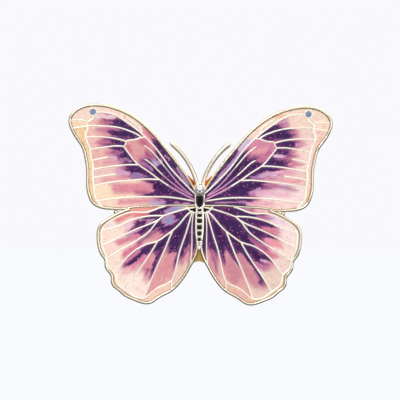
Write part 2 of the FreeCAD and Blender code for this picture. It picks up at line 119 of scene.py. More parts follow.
HIND_VEINS = {
    "upper": [(7.6, -0.1), (9, -0.5), (11, -1.28), (12.5, -1.6), (15, -1.55), (17, -2), (19, -2.9),
        (21, -4.25), (22, -5.5)],
    "radial": [(0.9, -0.3), (3.3, -0.75), (5, -1.25), (6.7, -1.8), (8.3, -2.4)],
    "radial_upper": [(8, -2.3), (11, -2.37), (13, -2.67), (15, -3.25), (17.3, -4.25), (20, -5.3),
        (22.3, -5.9)],
    "radial_middle": [(8.1, -2.3), (9.1, -3.1), (11, -4.1), (14, -5.3), (18, -7.25), (22.2, -9.35)],
    "radial_lower": [(8.9, -2.95), (9.7, -3.75), (11, -5.5), (13, -7.2), (16, -9.1), (18, -10.25),
        (21, -12.2)],
    "median": [(1.5, -1.1), (2.3, -1.6), (4, -3.5), (6, -5.6), (8, -7.1), (9.5, -8.1), (11.7, -8.75),
        (13.7, -9.7), (15.7, -11.25), (18, -14), (19.1, -15.5)],
    "cubital_1": [(6, -5.5), (6.7, -7.2), (7.7, -9.7), (9, -12.7), (10.3, -15.7), (11.5, -18.7),
        (12.4, -21.3)],
    "cubital_2": [(9.4, -8), (11, -10.8), (13, -13.8), (15, -16.8), (16.7, -19.4)],
    "anal": [(1.6, -1.2), (2.2, -3.3), (3.2, -6.7), (4.2, -9.7), (5, -13), (5.6, -15.6), (6.1, -17.1),
        (6.2, -19.2)],
    "inner": [(1.35, -1.4), (1.6, -3.5), (1.65, -8), (1.85, -12.3), (2, -13.8)],
    "scallop": [(5.9, -16.8), (7, -17.6), (9, -18.5), (11, -20), (12.4, -21.2)],
    "submarginal": [(12, -21), (13, -21.05), (15, -20.5), (16.7, -19.25), (18.2, -18.1), (18.75, -17),
        (19, -15.7), (20.5, -14), (21, -12), (21.9, -9.7), (22.2, -7), (22.15, -6), (21.5, -4.9)],
    "shoulder": [(3.1, 0), (2.6, -0.65), (2, -1.25), (1.2, -1.5), (0.6, -1.55)],
}
VEIN_W = (0.36, 0.3)    # width of a cell wire at its root and at its tip
VEIN_WIDTHS = {
    "cell_spur_upper": (0.24, 0.3),
    "cell_spur_lower": (0.24, 0.3),
    "inner": (0.26, 0.24),
    "submarginal": (0.46, 0.5),     # 0.08 mm wider than in the CAD, as the photo shows it
}
ABDOMEN_CELLS = [
    (-0.98, 0.9, 0.55), (-2.15, 1.1, 0.72), (-3.4, 1.2, 0.98), (-4.85, 1.12, 1), (-6.25, 0.98, 1),
    (-7.6, 0.76, 0.76),
]
BODY = [
    (0, 5.25), (0.7, 5.15), (1.2, 4.7), (1.3, 3.9), (1.22, 2.8), (1.16, 2), (1.12, 0.6), (1.0, -0.3),
    (0.84, -0.75), (0.92, -1.4), (0.98, -3), (0.97, -4.8), (0.85, -6.6), (0.66, -8.1), (0.45, -9.2),
    (0, -9.95),
]


# ---- flat curves ----
def to_frame(across, up, y):
    return Vector((across * MM, y, (up - PIN_UP) * MM))


def natural_spline(points, per_span):
    """Points on the smooth curve through the given points, per_span of them from each to the next."""
    p = np.array(points, float)
    t = np.r_[0, np.cumsum(np.linalg.norm(np.diff(p[:, :2], axis=0), axis=1))]
    n = len(p)
    h = np.diff(t)
    lhs = np.eye(n)
    rhs = np.zeros_like(p)
    for i in range(1, n - 1):
        lhs[i, i - 1:i + 2] = h[i - 1], 2 * (h[i - 1] + h[i]), h[i]
        rhs[i] = 6 * ((p[i + 1] - p[i]) / h[i] - (p[i] - p[i - 1]) / h[i - 1])
    m = np.linalg.solve(lhs, rhs)
    out = []
    for i in range(n - 1):
        for k in range(per_span[i]):
            s = h[i] * k / per_span[i]
            r = h[i] - s
            out.append(
                (m[i] * r ** 3 + m[i + 1] * s ** 3) / (6 * h[i])
                + (p[i] / h[i] - m[i] * h[i] / 6) * r
                + (p[i + 1] / h[i] - m[i + 1] * h[i] / 6) * s
            )
    out.append(p[-1])
    return np.array(out)


def spans(points, step):
    """How many samples each span needs to be about step apart."""
    gaps = np.linalg.norm(np.diff(np.array(points, float)[:, :2], axis=0), axis=1)
    return [max(1, int(math.ceil(g / step))) for g in gaps]


def normals_of(points):
    """Unit normals to the left of the direction of travel."""
    d = np.gradient(np.array(points, float)[:, :2], axis=0)
    d /= np.linalg.norm(d, axis=1)[:, None]
    return np.c_[-d[:, 1], d[:, 0]]


def corner_normals(points):
    """The same, from each point's two neighbours, as the CAD offsets its outlines."""
    p = np.array(points, float)
    ahead = p[np.minimum(np.arange(len(p)) + 1, len(p) - 1)]
    behind = p[np.maximum(np.arange(len(p)) - 1, 0)]
    d = ahead - behind
    d /= np.linalg.norm(d, axis=1)[:, None]
    return np.c_[-d[:, 1], d[:, 0]]


def stroke_distance(stroke, points):
    """Distance in mm from each point to a tapered brush stroke; negative inside it."""
    best = np.full(len(points), 1e9)
    for a, b in zip(stroke, stroke[1:]):
        a, b = np.array(a), np.array(b)
        d = b[:2] - a[:2]
        t = np.clip(((points - a[:2]) @ d) / (d @ d), 0, 1)
        gap = np.linalg.norm(points - a[:2] - t[:, None] * d, axis=1)
        best = np.minimum(best, gap - (a[2] + t * (b[2] - a[2])))
    return best


def smoothstep(values, low, high):
    t = np.clip((values - low) / (high - low), 0, 1)
    return t * t * (3 - 2 * t)


# ---- materials ----
def srgb(r, g, b):
    """A shader colour from screen values of 0 to 255."""
    def linear(v):
        v /= 255
        return v / 12.92 if v <= 0.04045 else ((v + 0.055) / 1.055) ** 2.4
    return (linear(r), linear(g), linear(b), 1.0)


POLISHED = (900.0, 900.0, 900.0)        # scratches with no direction
BRUSHED = (160.0, 2600.0, 2600.0)       # long scratches across
DRAWN = (120.0, 2400.0, 2400.0)


class Nodes:
    """A node tree being built: node() adds a node, and put() links a socket or sets its value."""

    def __init__(self, tree):
        self.tree = tree
        self.places = self.node("ShaderNodeTexCoord")

    def node(self, kind, settings=None, **inputs):
        made = self.tree.nodes.new(kind)
        for key, value in (settings or {}).items():
            setattr(made, key, value)
        for key, value in inputs.items():
            self.put(made, key.replace("_", " "), value)
        return made

    def put(self, node, key, value):
        socket = node.inputs[int(key)] if key.isdigit() else node.inputs[key]
        if isinstance(value, bpy.types.NodeSocket):
            self.tree.links.new(value, socket)
        else:
            socket.default_value = value

    def maths(self, operation, a, b=0.0, c=0.0):
        made = self.node("ShaderNodeMath", {"operation": operation})
        for i, value in enumerate((a, b, c)):
            self.put(made, str(i), value)
        return made.outputs[0]

    def remap(self, value, low, high, to_low=0.0, to_high=1.0):
        made = self.node("ShaderNodeMapRange", {"interpolation_type": "SMOOTHSTEP"})
        for key, given in zip(("Value", "From Min", "From Max", "To Min", "To Max"),
                              (value, low, high, to_low, to_high)):
            self.put(made, key, given)
        return made.outputs[0]

    def axis(self, place, letter):
        return self.node("ShaderNodeSeparateXYZ", Vector=place).outputs[letter]


class Shader(Nodes):
    """A material being built on its Principled BSDF."""

    def __init__(self, name):
        self.material = bpy.data.materials.new(name)
        self.material.use_nodes = True
        super().__init__(self.material.node_tree)
        self.surface = self.tree.nodes["Principled BSDF"]

    def place(self):
        return self.places.outputs["Object"]

    def noise(self, scale, detail=2.0, vector=None, roughness=0.5):
        made = self.node("ShaderNodeTexNoise", Scale=scale, Detail=detail, Roughness=roughness)
        self.put(made, "Vector", vector or self.place())
        return made.outputs["Fac"]

    def ramp(self, value, stops):
        made = self.node("ShaderNodeValToRGB", Fac=value)
        points = made.color_ramp.elements
        while len(points) < len(stops):
            points.new(0.5)
        for point, (position, colour) in zip(points, stops):
            point.position = position
            point.color = colour
        return made.outputs["Color"]

    def mix(self, share, a, b, how="MIX"):
        made = self.node("ShaderNodeMix", {"data_type": "RGBA", "blend_type": how})
        for key, given in zip((0, 6, 7), (share, a, b)):
            self.put(made, str(key), given)
        return made.outputs[2]

    def attribute(self, name, output="Fac"):
        return self.node("ShaderNodeAttribute", {"attribute_name": name}).outputs[output]

    def finish(self, colour, roughness, metallic=0.0, bump=None, strength=0.1, depth=0.02, **plain):
        self.put(self.surface, "Base Color", colour)
        self.put(self.surface, "Roughness", roughness)
        self.put(self.surface, "Metallic", metallic)
        for key, value in plain.items():
            self.put(self.surface, key.replace("_", " "), value)
        if bump is not None:
            made = self.node("ShaderNodeBump", Strength=strength, Distance=depth * MM, Height=bump)
            self.put(self.surface, "Normal", made.outputs["Normal"])
        return self.material


def metal(name, pale, deep, rough, scratch=0.12, grain=POLISHED, film=None, crest=None, metallic=1.0):
    """Plating in two tones, with tarnish in soft patches and fine scratches.

    The colour film lies where the mesh's attribute film says, and crest is (low, high, colour) by depth: a
    painted highlight, the paler colour laid over the front of a rounded wire.
    """
    s = Shader(name)
    patches = s.noise(260.0, 4.0)
    stretch = s.node("ShaderNodeMapping", {"vector_type": "POINT"}, Scale=grain)
    s.put(stretch, "Vector", s.place())
    lines = s.noise(1.0, 3.0, stretch.outputs["Vector"], 0.6)
    tone = s.ramp(s.remap(patches, 0.32, 0.72), [(0.0, deep), (1.0, pale)])
    worn = s.mix(s.remap(lines, 0.35, 0.75, 0.0, 0.25), tone, deep)
    if film:
        worn = s.mix(s.attribute("film"), worn, film)
    if crest:
        # painted highlight: the front of the wire's rounding turns to the paler colour
        low, high, bright = crest
        worn = s.mix(s.remap(s.axis(s.place(), "Y"), low, high), worn, bright)
    roughness = s.maths("MULTIPLY_ADD", lines, rough * 0.9, rough * 0.55)
    relief = s.maths("MULTIPLY_ADD", patches, 1.4, lines)
    return s.finish(worn, roughness, metallic, relief, scratch, 0.012)


DARK_SPREAD = 0.55      # mm that the dark paint spreads past its strokes


def painted_enamel(name):
    """Hard enamel: dark purple breaking up in streaks into rose, over the painted tint of each cell.

    The mesh holds edge, the distance in mm past the dark paint's edge; tint, the light paint's colour with
    the painted reflections laid in; and flow, the direction that the brush went, out from the wing's root.
    """
    s = Shader(name)
    flow = s.attribute("flow", "Vector")
    edge = s.attribute("edge")
    streaks = s.noise(2.2, 2.0, flow, 0.5)
    hairs = s.noise(7.0, 2.0, flow, 0.5)
    blots = s.noise(700.0, 3.0)
    wander = s.maths("MULTIPLY_ADD", streaks, 2.2, -1.1)
    fine = s.maths("MULTIPLY_ADD", hairs, 0.9, -0.45)
    blot = s.maths("MULTIPLY_ADD", blots, 0.6, -0.3 - DARK_SPREAD)
    past = s.maths("ADD", s.maths("ADD", edge, wander), s.maths("ADD", fine, blot))
    share = s.maths("MULTIPLY_ADD", past, 0.14, 0.5)
    dark = s.ramp(share, [
        (0.0, srgb(46, 18, 62)), (0.30, srgb(58, 24, 74)), (0.42, srgb(84, 38, 96)),
        (0.52, srgb(122, 58, 118)), (0.62, srgb(162, 88, 136)), (0.8, srgb(202, 134, 154)),
    ])
    clouds = s.remap(s.noise(260.0, 3.0), 0.36, 0.66)
    dark = s.mix(s.maths("MULTIPLY", clouds, s.remap(past, 0.6, -0.6)), dark, srgb(62, 36, 88))
    tint = s.attribute("tint", "Color")
    combed = s.mix(s.remap(hairs, 0.42, 0.78, 0.0, 0.34), tint, srgb(196, 104, 128), "MULTIPLY")
    lifted = s.mix(s.remap(streaks, 0.5, 0.8, 0.0, 0.22), combed, srgb(246, 228, 218))
    paint = s.mix(s.remap(past, -0.7, 2.3), dark, lifted)
    specks = s.node("ShaderNodeTexVoronoi", {"feature": "F1"}, Scale=2400.0, Randomness=1.0)
    s.put(specks, "Vector", s.place())
    dot = s.remap(specks.outputs["Distance"], 0.2, 0.42, 1.0, 0.0)
    chosen = s.node("ShaderNodeSeparateColor", Color=specks.outputs["Color"])
    rare = s.remap(chosen.outputs["Red"], 0.5, 0.85)
    on_dark = s.remap(past, 0.9, -0.4)
    glint = s.maths("MULTIPLY", s.maths("MULTIPLY", dot, rare), on_dark)
    hue = s.ramp(chosen.outputs["Green"], [
        (0.0, srgb(112, 58, 122)), (0.6, srgb(164, 74, 124)), (1.0, srgb(226, 130, 156)),
    ])
    grain = s.noise(3600.0, 2.0)
    grained = s.maths("MULTIPLY", s.remap(grain, 0.36, 0.64, 0.0, 0.34), s.remap(past, 2.2, 0.2))
    grainy = s.mix(grained, paint, srgb(150, 80, 130), "MULTIPLY")
    colour = s.mix(s.maths("MULTIPLY", glint, 0.8), grainy, hue)
    ripple = s.noise(420.0, 2.0)
    roughness = s.maths("MULTIPLY_ADD", ripple, 0.10, 0.10)
    return s.finish(colour, roughness, 0.0, ripple, 0.12, 0.05, Specular_IOR_Level=0.5)


def plain_enamel(name, base, light):
    """One-colour enamel with a little cloud in it and a glossy, slightly rippled skin."""
    s = Shader(name)
    cloud = s.noise(1400.0, 4.0)
    ripple = s.noise(600.0, 2.0)
    colour = s.mix(s.remap(cloud, 0.35, 0.8), base, light)
    roughness = s.maths("MULTIPLY_ADD", ripple, 0.10, 0.05)
    return s.finish(colour, roughness, 0.0, ripple, 0.15, 0.03, Specular_IOR_Level=0.35)


ROD_Y = BACK_Y - 1.15 * MM      # the antennae's axis
# painted highlight: the border's rounded front is coloured near-white
BORDER_GOLD_PAINTED_HIGHLIGHT = metal("border_gold_painted_highlight", srgb(244, 214, 140), srgb(218, 182, 100), 0.12,
                    crest=(BORDER_Y + 0.28 * MM, BORDER_Y + 0.05 * MM, srgb(255, 249, 226)))
# painted highlight: the antennae's rounded front is coloured near-white
ROD_GOLD_PAINTED_HIGHLIGHT = metal("rod_gold_painted_highlight", srgb(232, 206, 128), srgb(200, 168, 84), 0.12,
                 crest=(ROD_Y - 0.3 * MM, ROD_Y - 0.44 * MM, srgb(255, 254, 246)))
WIRE_GOLD = metal("wire_gold", srgb(255, 252, 240), srgb(252, 244, 222), 0.32, 0.03,
                  film=srgb(212, 150, 192), metallic=0.55)
BODY_GOLD = metal("body_gold", srgb(255, 252, 242), srgb(250, 240, 214), 0.18, metallic=0.75)
# painted shade and painted warm reflection: the body's gold coloured deep orange on the webs between
# antennae and wings
WEB_GOLD_PAINTED_SHADE = metal("web_gold_painted_shade", srgb(236, 150, 70), srgb(206, 106, 36), 0.3)
# painted shade: the body's gold coloured darker on the web in the notch between the hindwings, for the shade
# and gold bounce there
TAIL_GOLD_PAINTED_SHADE = metal("tail_gold_painted_shade", srgb(232, 200, 124), srgb(206, 168, 88), 0.3, metallic=0.7)
HEAD_GOLD = metal("head_gold", srgb(236, 237, 243), srgb(208, 209, 218), 0.2, 0.06, metallic=0.8)
PLATE_GOLD = metal("plate_gold", srgb(248, 226, 168), srgb(243, 218, 156), 0.34, 0.2, BRUSHED)
PIN_GOLD = metal("pin_gold", srgb(244, 224, 172), srgb(224, 194, 130), 0.24, 0.18)
STEM_GOLD = metal("stem_gold", srgb(240, 224, 180), srgb(206, 184, 132), 0.2, 0.2, DRAWN)
ENAMEL = painted_enamel("shaded_enamel")
BLACK_ENAMEL = plain_enamel("black_enamel", srgb(12, 11, 16), srgb(30, 28, 40))
DOT_ENAMEL = plain_enamel("grey_blue_enamel", srgb(112, 122, 156), srgb(136, 144, 172))


# ---- meshes ----
def placed(name, data):
    made = bpy.data.objects.new(name, data)
    STAGE.link(made)
    return made


def new_mesh(name, verts, faces):
    mesh = bpy.data.meshes.new(name)
    mesh.from_pydata([tuple(v) for v in verts], [], faces)
    return mesh


def mark(mesh, name, kind, field, values):
    """Stores a named value on every vertex."""
    mesh.attributes.new(name, kind, "POINT").data.foreach_set(field, np.ravel(values).astype(np.float32))


def add(name, verts, faces, material, replaces=(), body="brooch", sharp=40.0):
    """A closed mesh, with smooth faces and sharp edges where it turns by more than sharp degrees."""
    mesh = new_mesh(name, verts, faces)
    build = bmesh.new()
    build.from_mesh(mesh)
    bmesh.ops.remove_doubles(build, verts=build.verts, dist=1e-7)
    bmesh.ops.recalc_face_normals(build, faces=build.faces)
    return register(name, build, mesh, [material], replaces, body, sharp)


def register(name, build, mesh, materials, replaces, body, sharp):
    """Stores the bmesh and makes its object a piece of the model."""
    for f in build.faces:
        f.smooth = True
    for e in build.edges:
        if len(e.link_faces) == 2 and e.calc_face_angle(0) > math.radians(sharp):
            e.smooth = False
    build.to_mesh(mesh)
    build.free()
    piece = placed(name, mesh)
    for material in materials:
        mesh.materials.append(material)
    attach(piece, body)
    if replaces:
        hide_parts(*replaces)
    return piece


def skin(rings, closed_ends=True):
    """Vertices and faces of a tube through rings of equal length."""
    count = len(rings[0])
    verts = [v for ring in rings for v in ring]
    faces = []
    for i in range(len(rings) - 1):
        for j in range(count):
            a = i * count + j
            b = i * count + (j + 1) % count
            faces.append((a, b, b + count, a + count))
    if closed_ends:
        faces.append(tuple(range(count))[::-1])
        faces.append(tuple(range((len(rings) - 1) * count, len(rings) * count)))
    return verts, faces


def joined(pieces):
    """Several (verts, faces) as one."""
    verts, faces = [], []
    for v, f in pieces:
        faces += [tuple(i + len(verts) for i in face) for face in f]
        verts += list(v)
    return verts, faces


def ring_outward(loop):
    """Unit normals of a closed flat loop, pointing away from its middle."""
    d = np.roll(loop, -1, axis=0) - np.roll(loop, 1, axis=0)
    d /= np.linalg.norm(d, axis=1)[:, None]
    n = np.c_[-d[:, 1], d[:, 0]]
    turned = np.cross(d, np.roll(d, -1, axis=0)).sum()
    return -n if turned > 0 else n


def uneven(x, z, scale, seed):
    """Smooth unevenness between -1 and 1 over the face of the brooch."""
    return noise.noise(Vector((x * scale, z * scale, seed * 7.3)))


# ---- borders ----
BORDER_STEP = 0.3       # mm between a border's rings
BORDER_DOME = 9         # facets over a border's rounded top
SUNK = 0.05             # mm that wires reach into the plate
SHOULDER = 0.42         # share of a border's height below its rounding


def border_mesh(side, points, widths, seed):
    """A half-round wire between its outer and inner outline, standing on the plate, a little uneven."""
    counts = spans(points, BORDER_STEP)
    inner_points = np.array(points) - corner_normals(points) * np.array(widths)[:, None]
    outer = natural_spline(points, counts)
    inner = natural_spline(inner_points, counts)
    rise = (PLATE_Y - BORDER_Y) / MM
    sign = SIDES[side]
    rings = []
    for k, (o, i) in enumerate(zip(outer, inner)):
        width = i - o
        wave = uneven(o[0], o[1], 0.9, seed)
        ripple = uneven(o[0], o[1], 2.6, seed + 3)
        crest = rise * (0.965 + 0.035 * wave) - 0.02 * abs(ripple)
        lean = 0.5 + 0.07 * ripple
        ring = [(o, -SUNK), (o, rise * SHOULDER)]
        for j in range(1, BORDER_DOME):
            turn = math.pi * j / BORDER_DOME
            share = 0.5 - 0.5 * math.cos(turn)
            share += (lean - 0.5) * math.sin(turn)
            height = rise * SHOULDER + (crest - rise * SHOULDER) * math.sin(turn) ** 0.8
            ring.append((o + width * share, height))
        ring += [(i, rise * SHOULDER), (i, -SUNK)]
        rings.append([to_frame(p[0] * sign, p[1], PLATE_Y - h * MM) for p, h in ring])
    return skin(rings)


def fore_width(across, up):
    """The forewing's border: thinner along its lower edge and towards the body."""
    if up > 0.3:
        return BORDER_W - (BORDER_W - ROOT_EDGE_W) * max(1 - across / THINS_FROM, 0)
    return LOWER_EDGE_W if across <= THIN_FROM else BORDER_W


for seed, side in enumerate(SIDES):
    for wing, points in (("forewing", FOREWING), ("hindwing", HINDWING)):
        widths = [fore_width(*p) if wing == "forewing" else BORDER_W for p in points]
        verts, faces = border_mesh(side, points, widths, seed)
        add(f"{side}_{wing}_rim", verts, faces, BORDER_GOLD_PAINTED_HIGHLIGHT,
            (f"{side}_{wing}_border",), sharp=70.0)

# ---- cell wires ----
WIRE_PROUD = 0.12       # mm that a cell wire stands above the enamel
WIRE_STEP = 0.28        # mm between its sections
WIRE_SEAM = 0.012       # a wire is this much wider each side than the gap between enamels
DOT_R, RING_R = 0.7, 1.02
RING_SIDES = 48


def domed(steps):
    """A wire's cross-section, for a half width of 1: steep sides, then steps (out, up) to its crest."""
    base = (PLATE_Y - ENAMEL_Y) / MM
    left = [(-1, -SUNK), (-1, base - 0.02)] + [(-out, base + up) for out, up in steps]
    return left + [(-out, up) for out, up in left[-2::-1]]


def section_at(side, place, normal, half, profile):
    """The cross-section set square to a wire's line."""
    ring = []
    for u, h in profile:
        across, up = place[:2] + normal * half * u
        ring.append(to_frame(across * SIDES[side], up, PLATE_Y - h * MM))
    return ring


def wire_rings(side, line, half, seed):
    """Sections of a domed wire along a line; both ends are rounded."""
    side_n = normals_of(line)
    along = np.r_[0, np.cumsum(np.linalg.norm(np.diff(line[:, :2], axis=0), axis=1))]
    rings = []
    for k, p in enumerate(line):
        w = half[k] + WIRE_SEAM
        from_end = min(along[k], along[-1] - along[k])
        if from_end < w:
            w *= max(0.15, math.sqrt(1 - (1 - from_end / w) ** 2))
        crest = WIRE_PROUD * (0.9 + 0.2 * uneven(p[0], p[1], 1.4, seed))
        profile = domed([(0.82, crest * 0.5), (0.45, crest * 0.9), (0, crest)])
        rings.append(section_at(side, p, side_n[k], w, profile))
    return rings


def vein_mesh(side, name, points, seed):
    root, tip = VEIN_WIDTHS.get(name, VEIN_W)
    last = len(points) - 1
    tapered = [(x, up, (root + (tip - root) * i / last) / 2) for i, (x, up) in enumerate(points)]
    line = natural_spline(tapered, spans(points, WIRE_STEP))
    return skin(wire_rings(side, line, line[:, 2], seed))


def eyespot_ring(side):
    """The eyespot's ring: a domed band round its enamel dot."""
    middle = (RING_R + DOT_R) / 2
    half = (RING_R - DOT_R) / 2 + WIRE_SEAM
    profile = domed([(0.7, WIRE_PROUD * 0.75), (0, WIRE_PROUD * 1.2)])
    rings = []
    for k in range(RING_SIDES + 1):
        turn = 2 * math.pi * k / RING_SIDES
        outward = np.array([math.cos(turn), math.sin(turn)])
        rings.append(section_at(side, np.array(EYESPOT) + outward * middle, outward, half, profile))
    return skin(rings, closed_ends=False)


# Wires near the root that a film of rose enamel covers: strokes of (across, up, half width).
FILMED = [
    [(1.4, 2.1, .2), (3.6, 3.6, .25), (6, 6, .25), (8, 8.6, .1)],
    [(3.6, 3.3, .2), (6, 4.9, .2), (8.4, 6.9, .1)],
    [(1.2, 1.3, .15), (4, 2.8, .2), (7, 4.5, .1)],
]


def wash(piece):
    """Marks the wires that the film covers, in the attribute film."""
    mesh = piece.data
    co = np.empty(len(mesh.vertices) * 3)
    mesh.vertices.foreach_get("co", co)
    co = co.reshape(-1, 3) / MM
    drawn = np.c_[np.abs(co[:, 0]), co[:, 2] + PIN_UP]
    film = np.zeros(len(drawn))
    for stroke in FILMED:
        film = np.maximum(film, smoothstep(stroke_distance(stroke, drawn), 0.25, -0.05))
    mark(mesh, "film", "FLOAT", "value", film)


for seed, side in enumerate(SIDES):
    for wing, veins in (("forewing", FORE_VEINS), ("hindwing", HIND_VEINS)):
        parts = [vein_mesh(side, name, points, i + seed) for i, (name, points) in enumerate(veins.items())]
        if wing == "forewing":
            parts.append(eyespot_ring(side))
        verts, faces = joined(parts)
        piece = add(f"{side}_{wing}_cell_wires", verts, faces, WIRE_GOLD,
                    (f"{side}_{wing}_cloisons",), sharp=60.0)
        wash(piece)

# ---- enamel ----
GRID = 0.3              # mm between points of the enamel's face
SAG = 0.07              # how far the enamel sinks between the wires
SAG_REACH = 0.4
BRUSH_ROOT = (0.6, 0.6)


def open_edges(faces):
    """The directed edges that belong to one face only."""
    edges = {}
    for face in faces:
        for a, b in zip(face, face[1:] + face[:1]):
            if (b, a) in edges:
                del edges[(b, a)]
            else:
                edges[(a, b)] = True
    return list(edges)


def front_loops(node, level):
    """The outlines, in drawn mm, of the flat front faces of a CAD node: one list of loops for each face."""
    mesh = frame["nodes"][node].data
    keys = [tuple(round(c / MM, 4) for c in v.co) for v in mesh.vertices]
    faces = [tuple(keys[i] for i in polygon.vertices) for polygon in mesh.polygons]
    flat = [face for face in faces if all(abs(c[1] - level / MM) < 0.005 for c in face)]
    after = dict(open_edges(flat))
    loops = []
    while after:
        start, here = after.popitem()
        loop = [start]
        while here != start:
            loop.append(here)
            here = after.pop(here)
        loops.append(np.array([(x, z + PIN_UP) for x, _, z in loop]))
    return loops


def signed_area(loop):
    x, y = loop[:, 0], loop[:, 1]
    return 0.5 * float(np.sum(x * np.roll(y, -1) - np.roll(x, -1) * y))


def inside(loop, points):
    """Which of the points lie inside a closed loop."""
    a = loop
    b = np.roll(loop, -1, axis=0)
    px, py = points[:, 0][:, None], points[:, 1][:, None]
    straddles = (a[:, 1] > py) != (b[:, 1] > py)
    with np.errstate(divide="ignore", invalid="ignore"):
        cut = (b[:, 0] - a[:, 0]) * (py - a[:, 1]) / (b[:, 1] - a[:, 1]) + a[:, 0]
    return (straddles & (px < cut)).sum(axis=1) % 2 == 1


def distance(loops, points):
    """How far each point is from the nearest loop."""
    best = np.full(len(points), 1e9)
    for loop in loops:
        a = loop
        d = np.roll(loop, -1, axis=0) - a
        for i in range(len(a)):
            length = max(float(d[i] @ d[i]), 1e-12)
            t = np.clip(((points - a[i]) @ d[i]) / length, 0, 1)
            best = np.minimum(best, np.linalg.norm(points - a[i] - t[:, None] * d[i], axis=1))
    return best


def divided(loop, step):
    """The loop with its long edges divided and its crowded points thinned."""
    kept = [loop[0]]
    for p in loop[1:]:
        if np.linalg.norm(p - kept[-1]) > 0.05:
            kept.append(p)
    out = []
    for a, b in zip(kept, kept[1:] + kept[:1]):
        count = max(1, int(math.ceil(np.linalg.norm(b - a) / step)))
        out += [a + (b - a) * k / count for k in range(count)]
    return np.array(out)


def cell_islands(node):
    """Each enamel cell as (outer loop, holes)."""
    loops = front_loops(node, ENAMEL_Y)
    rank = sorted(loops, key=lambda loop: -abs(signed_area(loop)))
    cells = []
    for loop in rank:
        owner = next((c for c in cells if inside(c[0], loop[:1])[0]), None)
        if owner is None:
            cells.append((loop, []))
        else:
            owner[1].append(loop)
    return cells


def fill(outer, holes, rings, grid):
    """Triangulates a flat region: rings are the distances in from its edges where points lie, then a grid.

    Gives the points (across, up), the triangles, and the loops.
    """
    loops = [divided(loop, grid * 1.05) for loop in [outer] + holes]
    low, high = outer.min(axis=0), outer.max(axis=0)
    xs = np.arange(low[0] + grid / 2, high[0], grid)
    rows = np.arange(low[1] + grid / 2, high[1], grid * 0.87)
    lattice = [(x + grid / 2 * (r % 2), up) for r, up in enumerate(rows) for x in xs]
    lattice = np.array(lattice).reshape(-1, 2)
    turns = [1] + [-1] * len(holes)
    groups = []
    for reach in rings:
        near = [loop - ring_outward(loop) * turn * reach for loop, turn in zip(loops, turns)]
        groups.append((np.vstack(near), reach * 0.88))
    groups.append((lattice, rings[-1] + grid * 0.35))
    points = [p for p in np.vstack(loops)]
    edges = []
    start = 0
    for loop in loops:
        edges += [(start + i, start + (i + 1) % len(loop)) for i in range(len(loop))]
        start += len(loop)
    for group, reach in groups:
        keep = inside(loops[0], group)
        for hole in loops[1:]:
            keep &= ~inside(hole, group)
        keep &= distance(loops, group) > reach
        points += [p for p in group[keep]]
    flat, _, triangles, _, _, _ = geometry.delaunay_2d_cdt([Vector(p) for p in points], edges, [], 0, 1e-6)
    flat = np.array([(p.x, p.y) for p in flat])
    middles = np.array([flat[list(t)].mean(axis=0) for t in triangles])
    keep = inside(loops[0], middles)
    for hole in loops[1:]:
        keep &= ~inside(hole, middles)
    face = [tuple(t) for t, k in zip(triangles, keep) if k]
    return flat, face, loops


def walled(flat, face, depths, bottom_y):
    """Closes a face, at its points' depths y in metres, into a solid with walls and a bottom."""
    used = sorted({i for t in face for i in t})
    index = {old: new for new, old in enumerate(used)}
    face = [tuple(index[i] for i in t) for t in face]
    count = len(used)
    verts = [(flat[i][0], flat[i][1], depths[i]) for i in used]
    verts += [(flat[i][0], flat[i][1], bottom_y) for i in used]
    faces = list(face) + [tuple(i + count for i in t)[::-1] for t in face]
    faces += [(b, a, a + count, b + count) for a, b in open_edges(face)]
    return verts, faces


# ---- painting ----
PEACH = (246, 220, 196)
BLUSH = (214, 144, 158)     # the light paint's colour beside the dark paint
BLACK = None


def dark(*stroke):
    """A brush stroke of dark purple through points (across, up, half width) in mm."""
    return None, stroke


def light(colour, *stroke):
    """The same in another colour, laid over the dark paint; the strokes marked painted reflection stand for
    the lamps' glare on the glossy enamel.
    """
    return colour, stroke


CELLS = {               # a point inside each enamel cell
    "fore_costal": (6.9, 10), "fore_discal": (14, 12.5), "fore_radial_upper": (18, 18.6),
    "fore_radial_lower": (18, 16.2), "fore_median_upper": (20, 14.3), "fore_median_lower": (18, 11),
    "fore_cubital_upper": (14, 7.3), "fore_cubital_lower": (14, 3.8), "fore_anal": (10, .9),
    "fore_margin": (25.2, 9), "fore_tip": (27.5, 18.4), "hind_shoulder": (14, -1.05),
    "hind_radial_upper": (13, -2.1), "hind_radial_middle": (14, -4), "hind_radial_lower": (14, -6.5),
    "hind_discal": (11, -7), "hind_median": (14, -12), "hind_cubital_upper": (10, -12),
    "hind_cubital_lower": (6.5, -11), "hind_anal": (3.2, -11), "hind_inner": (1.2, -6),
    "hind_margin": (10, -20), "hind_root_inner": (1.4, -.9), "hind_root_outer": (2.1, -.3),
}
BRUSH_ROOTS = {         # where the strokes of a cell come from, if not from BRUSH_ROOT
    "fore_radial_upper": (5, 13.5), "fore_radial_lower": (2, 14), "fore_median_upper": (5, 14.2),
    "fore_median_lower": (4, 11.6), "fore_cubital_upper": (3, 6.6), "fore_cubital_lower": (-3, 2.2),
    "fore_anal": (-4, 1),
}


def cell(name, base, *strokes):
    """A cell's painting: its base colour and its strokes."""
    return {
        "at": np.array([CELLS[name]]),
        "base": base,
        "dark": [stroke for colour, stroke in strokes if colour is None],
        "light": [(colour, stroke) for colour, stroke in strokes if colour is not None],
        "root": np.array(BRUSH_ROOTS.get(name, BRUSH_ROOT)),
    }


